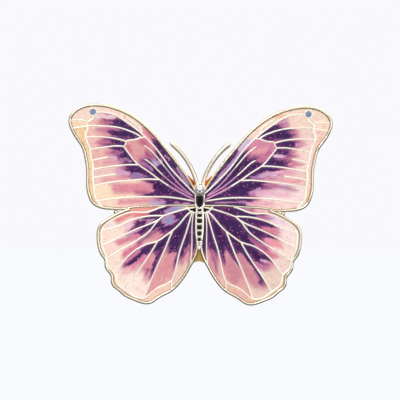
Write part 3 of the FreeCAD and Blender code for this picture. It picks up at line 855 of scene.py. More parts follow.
RIGHT_FORE = [
    cell("fore_costal", (244, 218, 196),
        dark((1.9, 4.3, .45), (3.5, 6.6, .5), (5, 8.8, .55), (6.5, 10.8, .5), (7.8, 12.3, .3)),
        light((215, 190, 220), (9, 12.8, .8), (11, 15.2, .8)),
        # painted reflection: the lavender stroke is the lamps' glare on the glossy enamel near the root
        light((150, 148, 204), (2.5, 4.3, .25), (5.1, 7.4, .3), (7.2, 9.8, .3), (8.8, 11.9, .35)),
        # painted reflection: the amber stroke is the gold border's warm reflection in the enamel
        light((236, 176, 110), (16.8, 20.4, .25), (18.5, 20.7, .2))),
    cell("fore_discal", (212, 136, 164),
        dark((1.5, 2.5, .4), (5, 5.4, .9), (8, 8.2, 1.5), (9.6, 10, 1.4)),
        dark((6, 5, .8), (9, 7, 1.1), (12.4, 9.4, .8)),
        dark((8, 9.4, .7), (10, 12, .35)),
        light((226, 158, 156), (12.4, 12.6, .5), (14.4, 12.6, .6)),
        light((186, 96, 146), (13.5, 10.4, .4), (15.8, 12.4, .4)),
        # painted reflection: the thin slate-lavender stroke is glare on the enamel near the root
        light((112, 92, 156), (8.4, 7.7, .12), (9.8, 9.3, .12))),
    cell("fore_radial_upper", (244, 214, 196),
        dark((14.6, 16.6, .25), (16, 17.5, .6), (17.3, 17.9, .4)),
        light((196, 150, 182), (16.6, 18.6, .3), (18.6, 19.2, .3)),
        light((168, 104, 152), (17.5, 18.2, .25), (19.8, 18.8, .2))),
    cell("fore_radial_lower", (240, 208, 198),
        dark((14, 15.35, .15), (16, 16.1, .8), (18, 16.3, .85), (19.4, 16.3, .5))),
    cell("fore_median_upper", (242, 208, 200),
        dark((17.3, 14, .35), (18.6, 14.2, .55), (20, 14.4, .35)),
        light((210, 160, 186), (20.8, 14.1, .3), (22.6, 14.3, .25))),
    cell("fore_median_lower", (246, 216, 204),
        dark((17.3, 12.8, .3), (18.5, 12.6, .45), (19.7, 12.5, .2)),
        dark((14.6, 9.5, .2), (16.5, 10.3, .6), (18, 9.8, .5), (19.2, 9.9, .2)),
        dark((15, 10, .3), (17.2, 12.4, .3)),
        # painted highlight: the white-lilac stroke is a glint on the enamel
        light((225, 205, 235), (17.3, 11.5, .5), (18.8, 11.6, .4)),
        light((210, 122, 148), (20, 9.9, .3), (22.5, 9.6, .3))),
    cell("fore_cubital_upper", (236, 198, 190),
        dark((9.9, 6.3, .3), (11.5, 7.2, .6), (13.5, 8.2, .6), (15.5, 8.5, .5), (17, 8.5, .25)),
        # painted reflection: the lavender stroke is glare on the enamel
        light((150, 112, 176), (11.5, 6.5, .4), (13.6, 7, .5)),
        light((214, 178, 216), (13.8, 7, .4), (15.5, 7.6, .6), (17, 7.2, .5)),
        light((230, 165, 190), (17, 7.8, .4), (21, 7.6, .4)),
        light((232, 150, 165), (18.5, 5.9, .4), (22.4, 5.8, .4))),
    cell("fore_cubital_lower", (246, 220, 214),
        dark((2.2, 1.8, .3), (5, 2.6, .6), (8, 3.7, 1.4), (10.4, 4.2, 1.5), (12.6, 5, .8), (14.5, 5.3, .4)),
        light((230, 178, 200), (13.5, 3, .6), (17, 3.2, .7)),
        light((238, 178, 194), (18, 2.7, .5), (20.4, 2.8, .5)),
        light((165, 80, 140), (15, 5, .3), (18, 4.6, .45), (21.5, 3.9, .3)),
        # painted reflection: the lavender stroke is glare on the enamel
        light((176, 146, 204), (11.6, 2.9, .3), (13.6, 4, .45))),
    cell("fore_anal", (246, 214, 204),
        dark((1.3, .7, .3), (4, 1.1, .3)),
        dark((3, 1.2, .25), (11.5, 1.55, .2)),
        dark((3, .45, .15), (8, .4, .15), (11, .3, .12)),
        light((238, 176, 188), (11, .6, .5), (17, .7, .6)),
        # painted reflection: the lavender stroke is glare on the enamel along the strip
        light((158, 146, 204), (3, .75, .15), (7, .9, .2), (11, 1, .25))),
    cell("fore_margin", (243, 208, 190),
        light((242, 190, 160), (26.8, 15.6, .2), (26.2, 12.6, .15)),
        light((238, 190, 140), (25.2, 3.6, .15), (24.6, 1.4, .3))),
    cell("fore_tip", (246, 217, 190)),
]
LEFT_FORE = [
    cell("fore_costal", (245, 218, 200),
        dark((1.8, 4.1, .4), (4, 7.2, .5), (6.5, 10, .7), (8.5, 12.5, .8), (10, 14.5, .4)),
        light((190, 80, 110), (10.8, 15.4, .5), (12.8, 17.6, .4)),
        light((225, 150, 165), (11, 14.2, .5), (13, 16.3, .6)),
        light((240, 205, 205), (13.8, 18, .4), (16, 19, .5)),
        # painted reflection: these two lavender strokes are the lamps' glare on the enamel near the root
        light((148, 146, 192), (2.6, 4.9, .35), (4.2, 7.2, .5), (5, 8.4, .35)),
        light((150, 140, 192), (6.5, 10, .2), (7.8, 11, .25))),
    cell("fore_discal", (222, 156, 156),
        dark((1.5, 2.4, .4), (5, 5.6, 1), (8, 8.8, 1.4)),
        dark((6, 4.8, .8), (9, 7, 1.1), (11.5, 8.8, .7)),
        dark((7.6, 9, .5), (9.4, 11.2, .35)),
        light((196, 102, 128), (11, 12.2, .5), (13, 14.4, .8)),
        light((222, 160, 160), (13, 12.6, .6), (15.2, 13.2, .6)),
        light((185, 70, 120), (16.4, 13.4, .2), (15, 10.8, .2)),
        light((150, 56, 116), (10.3, 10.6, .5), (12, 11.6, .5)),
        # painted reflection: these two lavender strokes are glare on the enamel near the root
        light((150, 120, 190), (10.5, 7.9, .3), (12.6, 9.4, .35)),
        light((164, 158, 202), (8.6, 9.7, .5), (9.8, 9.4, .85), (10.5, 10, .35))),
    cell("fore_radial_upper", (238, 190, 176),
        dark((14.3, 16.5, .2), (16, 17.6, .6), (18, 18.5, .6), (19.6, 18.9, .35), (20.6, 19, .1)),
        light((240, 220, 220), (19.8, 20.1, .4), (23.5, 20.1, .5)),
        light((168, 84, 104), (20.5, 18.7, .3), (23, 18.9, .25))),
    cell("fore_radial_lower", (240, 194, 182),
        dark((14, 15.4, .15), (16, 16.1, .6), (18, 16.1, .5), (19.8, 16.2, .2)),
        light((180, 100, 142), (20.8, 17, .3), (23, 17, .2)),
        light((215, 150, 150), (21, 16, .4), (24, 16, .3))),
    cell("fore_median_upper", (238, 188, 180),
        dark((17.2, 14.2, .4), (19, 14.2, .45), (20.5, 14.1, .2)),
        light((184, 96, 134), (20.5, 14.3, .4), (22.6, 14.3, .3))),
    cell("fore_median_lower", (236, 184, 172),
        dark((17.5, 12.7, .35), (19.3, 12.9, .25)),
        dark((14.6, 9.6, .3), (16.3, 10.6, .9), (17.8, 11.6, .5)),
        light((220, 180, 205), (19.5, 10.6, .4), (20.5, 10.8, .4)),
        light((216, 142, 165), (19.5, 9.7, .3), (22, 9.6, .3)),
        light((110, 76, 136), (18.2, 11.8, .4), (19.4, 12.1, .3)),
        # painted reflection: the slate-lavender stroke is glare on the enamel
        light((118, 108, 162), (15.4, 9.8, .2), (17, 10.4, .4), (18.2, 10.2, .4))),
    cell("fore_cubital_upper", (238, 198, 188),
        dark((10, 6.4, .3), (12, 7.3, .9), (14.3, 8.1, .9), (16, 8.4, .4)),
        light((212, 166, 202), (16.4, 7.2, .5), (18.5, 7.6, .6)),
        light((226, 150, 160), (15.5, 6.1, .3), (22, 5.7, .4)),
        # painted reflection: the slate-lavender stroke is glare on the enamel
        light((118, 106, 166), (12, 6.3, .4), (15, 7, .6))),
    cell("fore_cubital_lower", (251, 224, 194),
        dark((1.8, 1.9, .3), (4, 2.3, .5), (7, 3.4, 1), (9.3, 4.3, 1.4), (10.6, 5.3, .5)),
        dark((9, 2.5, .5), (11.5, 2.6, .4)),
        light((220, 140, 154), (11.5, 3.9, 1.2), (19, 3.7, 1.25)),
        light((150, 60, 110), (11.5, 2.8, .25), (14.5, 2.9, .2))),
    cell("fore_anal", (248, 214, 194),
        dark((1.3, .8, .3), (3, 1.2, .25), (8, 1.4, .4)),
        dark((6, .7, .4), (8, .9, .4)),
        light((220, 136, 152), (11, 1.1, .5), (17.6, .7, .6)),
        # painted reflection: the two lilac strokes are glare on the enamel, and the white one is a painted
        # highlight
        light((172, 152, 200), (8.5, .7, .5), (11, .6, .4)),
        light((170, 150, 200), (2.5, .6, .2), (4, .5, .2)),
        light((246, 246, 255), (5.3, .7, .2), (6.2, .7, .2))),
    cell("fore_margin", (242, 207, 164),
        light((240, 190, 140), (27.4, 16.9, .3), (26.6, 14, .15)),
        light((238, 184, 136), (25.4, 8.4, .15), (25.2, 5, .15)),
        light((240, 192, 144), (24.8, 2.2, .3), (24, .8, .3))),
    cell("fore_tip", (247, 214, 184)),
]
RIGHT_HIND = [
    cell("hind_shoulder", (246, 218, 214),
        light((232, 158, 168), (12, -.9, .5), (17, -1.7, .4)),
        light((146, 56, 116), (9.6, -.5, .3), (12.2, -1, .35))),
    cell("hind_radial_upper", (247, 226, 218),
        dark((3.2, -.45, .2), (7, -1.1, .8), (10, -1.7, .5), (13, -2.2, .2)),
        light((240, 205, 222), (16.5, -2.7, .5), (19, -3.6, .6)),
        light((160, 78, 146), (13, -2.2, .35), (16, -2.6, .3))),
    cell("hind_radial_middle", (247, 224, 214),
        dark((9.2, -2.7, .2), (12, -3.4, .7), (14.5, -4, .6), (16.5, -4, .35)),
        light((218, 132, 150), (14.5, -4.9, .4), (17.2, -5.5, .6)),
        light((236, 210, 236), (17, -3.8, .4), (19.4, -4.8, .5))),
    cell("hind_radial_lower", (246, 222, 208),
        dark((10.2, -3.8, .2), (12, -5.2, .7), (13.5, -6, .8), (15.2, -6.5, .35), (16.3, -6.5, .12)),
        light((234, 154, 166), (15.2, -7.5, .6), (18.4, -8.9, .8))),
    cell("hind_discal", (240, 210, 198),
        dark((2.8, -1.3, .3), (5, -3, 1.2), (8, -5.2, 2), (10.3, -7, 1.3), (12.5, -8.2, .6)),
        light((208, 114, 142), (13, -8.9, .8), (16.8, -11.2, .8)),
        light((150, 60, 130), (11.5, -7.4, .4), (14.8, -9.4, .4))),
    cell("hind_median", (232, 205, 188),
        dark((10, -8.6, .25), (11.3, -9.7, .8), (13, -11, 1), (15.3, -11.3, .25)),
        light((206, 132, 152), (15, -12.2, .5), (16.2, -12.7, .3)),
        light((188, 112, 152), (13, -12.8, .5), (14.6, -13.8, .5)),
        # painted highlight: the white-lilac stroke is a glint on the enamel
        light((218, 208, 238), (14, -11.9, .35), (14.9, -12.3, .25))),
    cell("hind_cubital_upper", (232, 205, 186),
        dark((6.8, -6.6, .3), (8.3, -8, 1), (9.5, -9, 1)),
        dark((8, -9.8, .3), (9, -11.4, .15)),
        dark((10, -10, .5), (11.5, -12.5, .35), (14.4, -16.4, .08)),
        light((204, 136, 148), (9.5, -11.5, .8), (11, -14.5, 1.4), (12.6, -16.8, 1.2))),
    cell("hind_cubital_lower", (226, 164, 158),
        dark((2.4, -2.4, .3), (4, -5, 1), (5.2, -8, 1.4)),
        dark((6.5, -8.7, .6), (7.2, -10.5, .3), (8.3, -12.8, .15)),
        dark((5.3, -9.5, .3), (6, -11.6, .1)),
        light((206, 138, 148), (6.3, -11, .7), (7.5, -14, 1.6), (8.4, -16.4, 1.6)),
        # painted highlight: the lilac stroke is a glint on the enamel near the root
        light((124, 106, 174), (2.3, -1.8, .2), (3.2, -3, .2))),
    cell("hind_anal", (228, 184, 174),
        dark((1.75, -2.5, .2), (2.3, -5, .5), (2.9, -8.3, .6)),
        dark((3.4, -9.3, .25), (4.2, -10.5, .1)),
        light((208, 134, 146), (2.3, -10, .3), (2.6, -13, .6), (4, -15, .5)),
        light((160, 78, 130), (3, -10, .4), (3.7, -13, .4), (4, -14.3, .2)),
        # painted reflection: the pale lavender stroke is glare on the enamel near the root
        light((180, 170, 215), (1.6, -2, .15), (2.1, -3.5, .12))),
    cell("hind_inner", (150, 70, 110),
        dark((1.1, -2, .3), (1.2, -6, .4), (1.1, -9.6, .3))),
    cell("hind_margin", (236, 190, 160),
        light((228, 180, 170), (6.5, -18.6, .6), (10.5, -20.8, .6)),
        light((226, 158, 108), (13, -21.5, .3), (17, -20, .3)),
        light((226, 158, 108), (19.5, -15, .3), (21.6, -11.5, .3))),
    cell("hind_root_inner", BLACK),
    cell("hind_root_outer", BLACK),
]
LEFT_HIND = [
    cell("hind_shoulder", (246, 206, 190),
        light((226, 132, 122), (9.4, -.5, .4), (14, -1.1, .5), (18, -1.9, .4))),
    cell("hind_radial_upper", (247, 226, 214),
        dark((8, -.7, .2), (9, -1.3, .6), (11, -2, .35), (12.3, -2.2, .15)),
        light((227, 124, 124), (12.3, -2, .5), (16, -2.2, .5), (18.7, -3.5, .6)),
        # painted reflection: the lavender stroke is the lamps' glare on the enamel near the body
        light((154, 147, 190), (3.5, -.5, .4), (6, -1, .9), (7.5, -1.3, .6))),
    cell("hind_radial_middle", (250, 226, 208),
        dark((9, -2.75, .25), (10.5, -3, .25), (12, -2.9, .15)),
        dark((12.5, -3.8, .3), (14, -4.1, .45), (14.8, -4.4, .25)),
        light((216, 142, 142), (14, -3.1, .4), (15, -4, .3)),
        light((240, 206, 216), (15.2, -3.5, .3), (16.6, -5, .8)),
        light((231, 162, 152), (16.5, -3.2, .15), (19, -4.2, .15)),
        # painted reflection: the lavender stroke is glare on the enamel
        light((166, 154, 194), (10.7, -3.4, .4), (12.2, -3.6, .45), (13, -2.8, .25))),
    cell("hind_radial_lower", (247, 218, 202),
        dark((10.3, -4, .25), (12, -5.2, .6), (13.3, -6, .4)),
        light((216, 128, 150), (14, -7, .6), (17.8, -8.3, .8)),
        light((182, 134, 186), (13.5, -5.5, .25), (16, -6.6, .25))),
    cell("hind_discal", (249, 224, 207),
        dark((2.6, -1.4, .35), (4.5, -2.2, .6), (6, -2.1, .3)),
        dark((3, -1.7, .3), (5, -4, .5), (6.5, -5.3, .5), (8.5, -5.2, .8), (9.5, -4.5, .7), (10.3, -5, .4)),
        light((216, 122, 150), (13, -8.6, .7), (16.7, -11, .9)),
        light((136, 54, 114), (9.5, -5.7, .7), (12, -7.3, .5), (14, -8.6, .4)),
        light((232, 146, 158), (8.8, -6.7, .25), (11, -7.9, .35), (12.5, -8.5, .25)),
        light((241, 176, 158), (9.3, -6.3, .15), (10, -6.6, .15)),
        # painted reflection: the lavender stroke is glare on the enamel
        light((150, 142, 188), (5.6, -3.3, .6), (6.6, -3.3, 1.2), (7.6, -3.5, .8))),
    cell("hind_median", (250, 228, 212),
        dark((10.3, -8.8, .3), (12, -10, .5), (13, -10.8, .4), (14.5, -12, .4), (15.4, -12.7, .15)),
        light((241, 188, 192), (14.6, -13.8, .8), (17, -15, .5)),
        light((217, 124, 152), (12.5, -11.9, .7), (15, -14, .4)),
        light((217, 124, 152), (13.5, -10.4, .4), (16, -12.5, .35))),
    cell("hind_cubital_upper", (250, 229, 216),
        dark((6.8, -6.7, .35), (8.3, -8.5, 1), (9.8, -9.7, .45)),
        dark((8.6, -10, .45), (9.3, -11.5, .25), (10, -13, .15), (11, -15, .08)),
        light((219, 142, 152), (10.5, -11.5, .5), (12, -14, .9)),
        light((224, 160, 172), (10.8, -14, .3), (12.3, -17.3, .25))),
    cell("hind_cubital_lower", (226, 160, 160),
        dark((2.4, -2.5, .35), (4, -5, 1.1), (5.5, -8, 1.3)),
        dark((6.6, -8.7, .4), (6.2, -10, .15)),
        dark((5.4, -10, .15), (5.6, -12.5, .1)),
        light((219, 147, 154), (6, -11, .8), (8, -15, 1.6))),
    cell("hind_anal", (237, 204, 188),
        dark((1.75, -2.5, .2), (2.3, -5, .5), (2.8, -8, .6)),
        dark((3.5, -9.3, .3), (4.1, -10.8, .1)),
        light((217, 150, 160), (2.5, -11, .5), (3.3, -12, .5)),
        light((150, 74, 134), (2.2, -9.3, .2), (3.3, -10, .3))),
    cell("hind_inner", (170, 90, 130),
        dark((1.1, -2, .3), (1.2, -6, .4), (1.1, -9, .3))),
    cell("hind_margin", (244, 206, 184),
        light((238, 176, 140), (15, -21, .3), (19.3, -17, .3))),
    cell("hind_root_inner", BLACK),
    cell("hind_root_outer", BLACK),
]
PAINT = {
    "right_forewing": RIGHT_FORE, "left_forewing": LEFT_FORE,
    "right_hindwing": RIGHT_HIND, "left_hindwing": LEFT_HIND,
}
FAR_FROM_DARK = 5.0     # mm: as if no dark paint were near
BLUSH_REACH = (1.2, 3.6)
STROKE_SOFT = 0.75
GLAZE = 0.9             # share of the light that the clear glaze lets back through
RAGGED = 1.1            # mm that brush strokes slide along the brush's way


def ragged(points, root, seed):
    """The points slid along the brush's way by uneven amounts, so that strokes end in streaks."""
    way = points - root
    reach = np.linalg.norm(way, axis=1)
    angle = np.arctan2(way[:, 1], way[:, 0])
    broad = np.array([noise.noise(Vector((a * 15, r * 0.1, seed))) for a, r in zip(angle, reach)])
    fine = np.array([noise.noise(Vector((a * 40, r * 0.2, seed + 5))) for a, r in zip(angle, reach)])
    return points + way / np.maximum(reach, 0.1)[:, None] * (broad + 0.5 * fine)[:, None] * RAGGED


def painted(paint, points, seed):
    """The edge distance and the light colour, painted reflections included, at each point of a cell."""
    points = ragged(points, paint["root"], seed)
    edge = np.full(len(points), FAR_FROM_DARK)
    for stroke in paint["dark"]:
        edge = np.minimum(edge, stroke_distance(stroke, points))
    base = np.array(srgb(*(paint["base"] or PEACH))[:3])
    blush = np.array(srgb(*BLUSH)[:3])
    share = smoothstep(edge, BLUSH_REACH[1], BLUSH_REACH[0])[:, None]
    tint = base * (1 - share) + blush * share
    # light paint, and the painted reflections marked in the cells' lists, laid over the tint
    for colour, stroke in paint["light"]:
        reach = stroke_distance(stroke, points)
        cover = smoothstep(reach, STROKE_SOFT, -STROKE_SOFT)[:, None]
        tint = tint * (1 - cover) + np.array(srgb(*colour)[:3]) * cover
        edge = np.where(cover[:, 0] > 0.5, np.maximum(edge, 0.0) + cover[:, 0] * 2.2, edge)
    return edge, tint * GLAZE


def enamel_wing(side, wing):
    """All the cells of one wing as one piece, painted on its vertices."""
    node = f"{side}_{wing}_enamel"
    sign = SIDES[side]
    verts, faces, edges, tints, flows, dark_faces = [], [], [], [], [], []
    for seed, (outer, holes) in enumerate(cell_islands(node)):
        flat, face, loops = fill(outer, holes, (0.12, 0.3), GRID)
        dips = SAG * (1 - np.exp(-distance(loops, flat) / SAG_REACH))
        made, solid = walled(flat, face, ENAMEL_Y + dips * MM, PLATE_Y)
        drawn = np.array([(v[0] * sign, v[1]) for v in made])
        mirrored = outer * np.array([sign, 1])
        paint = next(c for c in PAINT[f"{side}_{wing}"] if inside(mirrored, c["at"])[0])
        edge, tint = painted(paint, drawn, seed + 0.5 + 20 * (sign > 0))
        from_root = drawn - paint["root"]
        angle = np.arctan2(from_root[:, 1], from_root[:, 0])
        reach = np.linalg.norm(from_root, axis=1)
        if paint["base"] is BLACK:
            dark_faces += [len(faces) + i for i in range(len(solid))]
        faces += [tuple(i + len(verts) for i in f) for f in solid]
        verts += [to_frame(v[0], v[1], v[2]) for v in made]
        edges.append(edge)
        tints.append(tint)
        flows.append(np.c_[angle * 12, reach * 0.16, np.full(len(drawn), seed * 3.7 + (sign > 0) * 50)])
    mesh = new_mesh(f"{side}_{wing}_paint", verts, faces)
    mark(mesh, "edge", "FLOAT", "value", np.concatenate(edges))
    mark(mesh, "tint", "FLOAT_COLOR", "color", np.c_[np.vstack(tints), np.ones(len(verts))])
    mark(mesh, "flow", "FLOAT_VECTOR", "vector", np.vstack(flows))
    for i in dark_faces:
        mesh.polygons[i].material_index = 1
    build = bmesh.new()
    build.from_mesh(mesh)
    bmesh.ops.recalc_face_normals(build, faces=build.faces)
    materials = [ENAMEL, BLACK_ENAMEL]
    register(f"{side}_{wing}_paint", build, mesh, materials, (node,), "brooch", 50.0)


for side in SIDES:
    for wing in ("forewing", "hindwing"):
        enamel_wing(side, wing)


# ---- body ----
NECK_UP = 2.46          # the body is lower above this, behind the head
NECK_Y = BACK_Y - 1.5 * MM
WINDOW_DEPTH = 0.7
POOL_DEPTH = 0.16       # the black enamel lies this far below the body's front
LAP = 0.1 * MM          # layers of the body sink this far into each other
EDGE_ROUND = 0.16
CROWN = 0.1


def body_outline():
    right = np.array(BODY, float)
    dense = natural_spline(right, spans(right, 0.16))
    left = dense[::-1] * np.array([-1, 1])
    return np.vstack([dense, left[1:-1]])


def window_outline(up, width, height):
    """An abdomen window: a rectangle with bowed sides and soft corners."""
    turn = np.linspace(0, 2 * math.pi, 40, endpoint=False)
    power = 0.55
    across = np.sign(np.cos(turn)) * np.abs(np.cos(turn)) ** power * width / 2
    along = np.sign(np.sin(turn)) * np.abs(np.sin(turn)) ** power * height / 2
    return np.c_[across, along + up]


def thorax_outline():
    """An ogive: straight sides that draw in to a point at the waist."""
    right = [(0.83, 0.8), (0.64, 0.2), (0.36, -0.16), (0.02, -0.39)]
    side = np.vstack([[(0.8, 2.36), (0.835, 2.3)], natural_spline(right, spans(right, 0.12))])
    return np.vstack([side, (side * np.array([-1, 1]))[::-1]])


def rounded(gap, radius):
    """How far a rounded edge has dropped at a distance in from it."""
    inward = np.clip(radius - gap, 0, radius)
    return radius - np.sqrt(radius ** 2 - inward ** 2)


def slab(outer, holes, top_y, bottom_y, edge=EDGE_ROUND, crown=0.0, rough=0.0, grid=0.25):
    """A plate with rounded front edges, a slight crown and a slight unevenness."""
    flat, face, loops = fill(outer, holes, (edge * 0.12, edge * 0.4, edge), grid)
    gap = distance(loops, flat)
    waves = np.array([uneven(x, z, 2.3, 5) for x, z in flat])
    drop = rounded(gap, edge) + rough * waves * np.minimum(gap / edge, 1)
    if crown:
        drop = drop - crown * (1 - np.exp(-gap / 0.35))
    made, solid = walled(flat, face, top_y + drop * MM, bottom_y)
    return [to_frame(*v) for v in made], solid


def cut_below(loop, up):
    """The part of a closed loop that lies below a height."""
    return np.array([(x, min(y, up)) for x, y in loop])


def recolour(piece, material, chosen):
    """Gives a second material to the faces that chosen(across, up, how far they face back) picks."""
    piece.data.materials.append(material)
    for polygon in piece.data.polygons:
        if chosen(polygon.center.x / MM, polygon.center.z / MM + PIN_UP, polygon.normal.y):
            polygon.material_index = len(piece.data.materials) - 1


def body_pieces():
    windows = [thorax_outline()] + [window_outline(*cell) for cell in ABDOMEN_CELLS]
    outline = body_outline()
    lower = cut_below(outline, NECK_UP)
    keep = [i for i in range(len(lower)) if np.linalg.norm(lower[i] - lower[i - 1]) > 1e-4]
    floor_y = BODY_Y + WINDOW_DEPTH * MM
    shells = [
        slab(outline, [], NECK_Y, BACK_Y, rough=0.03),
        slab(lower[keep], [], floor_y, NECK_Y + LAP, edge=0.05),
        slab(lower[keep], windows, BODY_Y, floor_y + LAP, edge=0.13, rough=0.02, grid=0.16),
    ]
    webs = front_loops("body_frame", PLATE_Y)
    shells += [slab(web, [], PLATE_Y, BACK_Y, edge=0.06, rough=0.02, grid=0.2) for web in webs]
    verts, faces = joined(shells)
    piece = add("body_shell", verts, faces, BODY_GOLD, ("body_frame",), sharp=50.0)
    # painted shade: the webs beside the antenna roots get the deep orange gold
    recolour(piece, WEB_GOLD_PAINTED_SHADE, lambda x, up, back: abs(x) > 1.2 and up > 4.5)
    # painted shade: the web in the notch below the tail gets the darker gold
    recolour(piece, TAIL_GOLD_PAINTED_SHADE, lambda x, up, back: up < -9.98)
    recolour(piece, PLATE_GOLD, lambda x, up, back: back > 0.9)
    pools = [window + ring_outward(window) * 0.01 for window in windows]
    pool_y = BODY_Y + POOL_DEPTH * MM
    fills = [slab(pool, [], pool_y, floor_y, edge=0.05, crown=CROWN, grid=0.2) for pool in pools]
    verts, faces = joined(fills)
    add("body_cells", verts, faces, BLACK_ENAMEL, ("body_enamel",), sharp=60.0)


HEAD = (3.6, 1.12, BACK_Y - 2.5 * MM)   # its height and radius (mm), and where its dome starts
DOME_RINGS = 26
HEAD_SIDES = 72
PIT = (3.3, 0.21, 0.12)     # the black pit: its height, half width and half height


def head_piece():
    """A dome with two soft swellings above a crease, on a short neck."""
    centre_up, radius, centre_y = HEAD
    profile = [(radius * 0.99, NECK_Y + 0.3 * MM), (radius, (NECK_Y + centre_y) / 2)]
    for k in range(DOME_RINGS + 1):
        turn = math.pi / 2 * k / DOME_RINGS
        reach = radius * max(math.cos(turn), 0.0) ** 0.55
        profile.append((max(reach, 0.012), centre_y - radius * math.sin(turn) * MM))
    rings = []
    for r, y in profile:
        ring = []
        for j in range(HEAD_SIDES):
            a = 2 * math.pi * j / HEAD_SIDES
            x, up = r * math.cos(a), r * math.sin(a)
            crease = math.exp(-((up + 0.34 - 0.5 * x * x) / 0.1) ** 2 - (x / 0.7) ** 2)
            pit = math.exp(-((up + 0.3) / 0.12) ** 2 - (x / 0.2) ** 2)
            middle = math.exp(-(x / 0.1) ** 2 - ((up - 0.5) / 0.4) ** 2)
            bulge = sum(math.exp(-((x - s * 0.48) / 0.32) ** 2 - ((up - 0.3) / 0.34) ** 2) for s in (-1, 1))
            dip = 0.16 * crease + 0.26 * pit + 0.1 * middle - 0.12 * bulge
            front = max(0.0, min(1.0, (centre_y - y) / (0.4 * radius * MM)))
            narrow = 1 - 0.2 * max(up / radius, 0.0) ** 1.5
            swell = 1 + 0.03 * uneven(x, up, 1.7, 9)
            ring.append(to_frame(x * swell * narrow, centre_up + up * swell, y + dip * front * MM))
        rings.append(ring)
    verts, faces = skin(rings)
    piece = add("head_dome", verts, faces, HEAD_GOLD, ("head",), sharp=60.0)
    pit_up, wide, high = PIT
    # colours the pit black, darker than the dome around it
    recolour(piece, BLACK_ENAMEL, lambda x, up, back: (x / wide) ** 2 + ((up - pit_up) / high) ** 2 < 1)


ANTENNA = [(0.6, 4.75), (2.85, 10), (6.35, 13.95)]
ANTENNA_R = 0.49
CLUB_R = 0.09           # how much thicker its tip is
ANTENNA_SIDES = 20
TIP_RINGS = 8
BEAD = (18.95, -1.6, 0.5)   # a solder bead: across, up and radius (mm)
BEAD_RINGS = 16
BEAD_SIDES = 28


def arc_through(a, b, c, count):
    """Points along the circular arc through three points."""
    (ax, ay), (bx, by), (cx, cy) = a, b, c
    d = 2 * (ax * (by - cy) + bx * (cy - ay) + cx * (ay - by))
    aa, bb, cc = ax ** 2 + ay ** 2, bx ** 2 + by ** 2, cx ** 2 + cy ** 2
    ux = (aa * (by - cy) + bb * (cy - ay) + cc * (ay - by)) / d
    uy = (aa * (cx - bx) + bb * (ax - cx) + cc * (bx - ax)) / d
    r = math.hypot(ax - ux, ay - uy)
    start, end = math.atan2(ay - uy, ax - ux), math.atan2(cy - uy, cx - ux)
    return np.array([(ux + r * math.cos(t), uy + r * math.sin(t)) for t in np.linspace(start, end, count)])


def antenna_piece(side):
    """A tapering round wire that ends in a rounded club."""
    sign = SIDES[side]
    line = arc_through(*ANTENNA, 64)
    line = np.vstack([line[:1] - (line[1] - line[0]) * 4, line])
    line_n = normals_of(line)
    along = np.r_[0, np.cumsum(np.linalg.norm(np.diff(line, axis=0), axis=1))]
    rings = []
    for k, p in enumerate(line):
        share = along[k] / along[-1]
        club = math.exp(-((share - 0.97) / 0.1) ** 2)
        r = ANTENNA_R + 0.04 * math.exp(-share * 9) + CLUB_R * club
        r *= 1 + 0.04 * uneven(p[0], p[1], 1.1, 17 + sign)
        rings.append((p, line_n[k], r))
    p, n, r = rings[-1]
    ahead = np.array([n[1], -n[0]])
    for k in range(1, TIP_RINGS):
        turn = math.pi / 2 * k / TIP_RINGS
        rings.append((p + ahead * r * math.sin(turn), n, r * math.cos(turn)))
    tube = []
    for p, n, r in rings:
        tube.append([
            to_frame((p[0] + n[0] * r * math.cos(a)) * sign, p[1] + n[1] * r * math.cos(a),
                     ROD_Y - r * math.sin(a) * MM)
            for a in np.linspace(0, 2 * math.pi, ANTENNA_SIDES, endpoint=False)
        ])
    verts, faces = skin(tube)
    add(f"{side}_antenna_wire", verts, faces, ROD_GOLD_PAINTED_HIGHLIGHT, (f"{side}_antenna",), sharp=60.0)


def dot_piece(side):
    """The eyespot's enamel: a low dome."""
    turn = np.linspace(0, 2 * math.pi, 40, endpoint=False)
    sign = SIDES[side]
    r = DOT_R * 0.99
    loop = np.c_[EYESPOT[0] * sign + r * np.cos(turn), EYESPOT[1] + r * np.sin(turn)]
    verts, faces = slab(loop, [], ENAMEL_Y + 0.03 * MM, PLATE_Y, edge=0.04, crown=0.07, grid=0.2)
    add(f"{side}_eyespot_dot", verts, faces, DOT_ENAMEL, (f"{side}_eyespot",),
        sharp=60.0)


def bead_pieces():
    """Solder in the two notches: uneven little domes."""
    low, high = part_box("solder_beads")
    middle_y = (low.y + high.y) / 2
    across, up, radius = BEAD
    shells = []
    for sign in SIDES.values():
        rings = []
        for i in range(1, BEAD_RINGS):
            tilt = math.pi * i / BEAD_RINGS - math.pi / 2
            y = middle_y + radius * math.sin(tilt) * MM
            ring = []
            for j in range(BEAD_SIDES):
                a = 2 * math.pi * j / BEAD_SIDES
                r = radius * math.cos(tilt) * (1 + 0.1 * uneven(math.cos(a), math.sin(tilt), 1.5, 21 + sign))
                ring.append(to_frame((across + r * math.cos(a)) * sign, up + r * math.sin(a), y))
            rings.append(ring)
        shells.append(skin(rings))
    verts, faces = joined(shells)
    add("solder_bead_pair", verts, faces, BORDER_GOLD_PAINTED_HIGHLIGHT, ("solder_beads",), sharp=60.0)


body_pieces()
head_piece()
for side in SIDES:
    antenna_piece(side)
    dot_piece(side)
bead_pieces()


# ---- parts kept from the CAD, with their finish ----
def finished(nodes, material):
    for name in nodes:
        slots = frame["nodes"][name].data.materials
        slots.clear()
        slots.append(material)


finished([f"{side}_{wing}_plate" for side in SIDES for wing in ("forewing", "hindwing")], PLATE_GOLD)
finished(["pin_bar", "hinge_rivet", "catch_housing", "catch_rotor"], PIN_GOLD)
finished(["pin_stem"], STEM_GOLD)


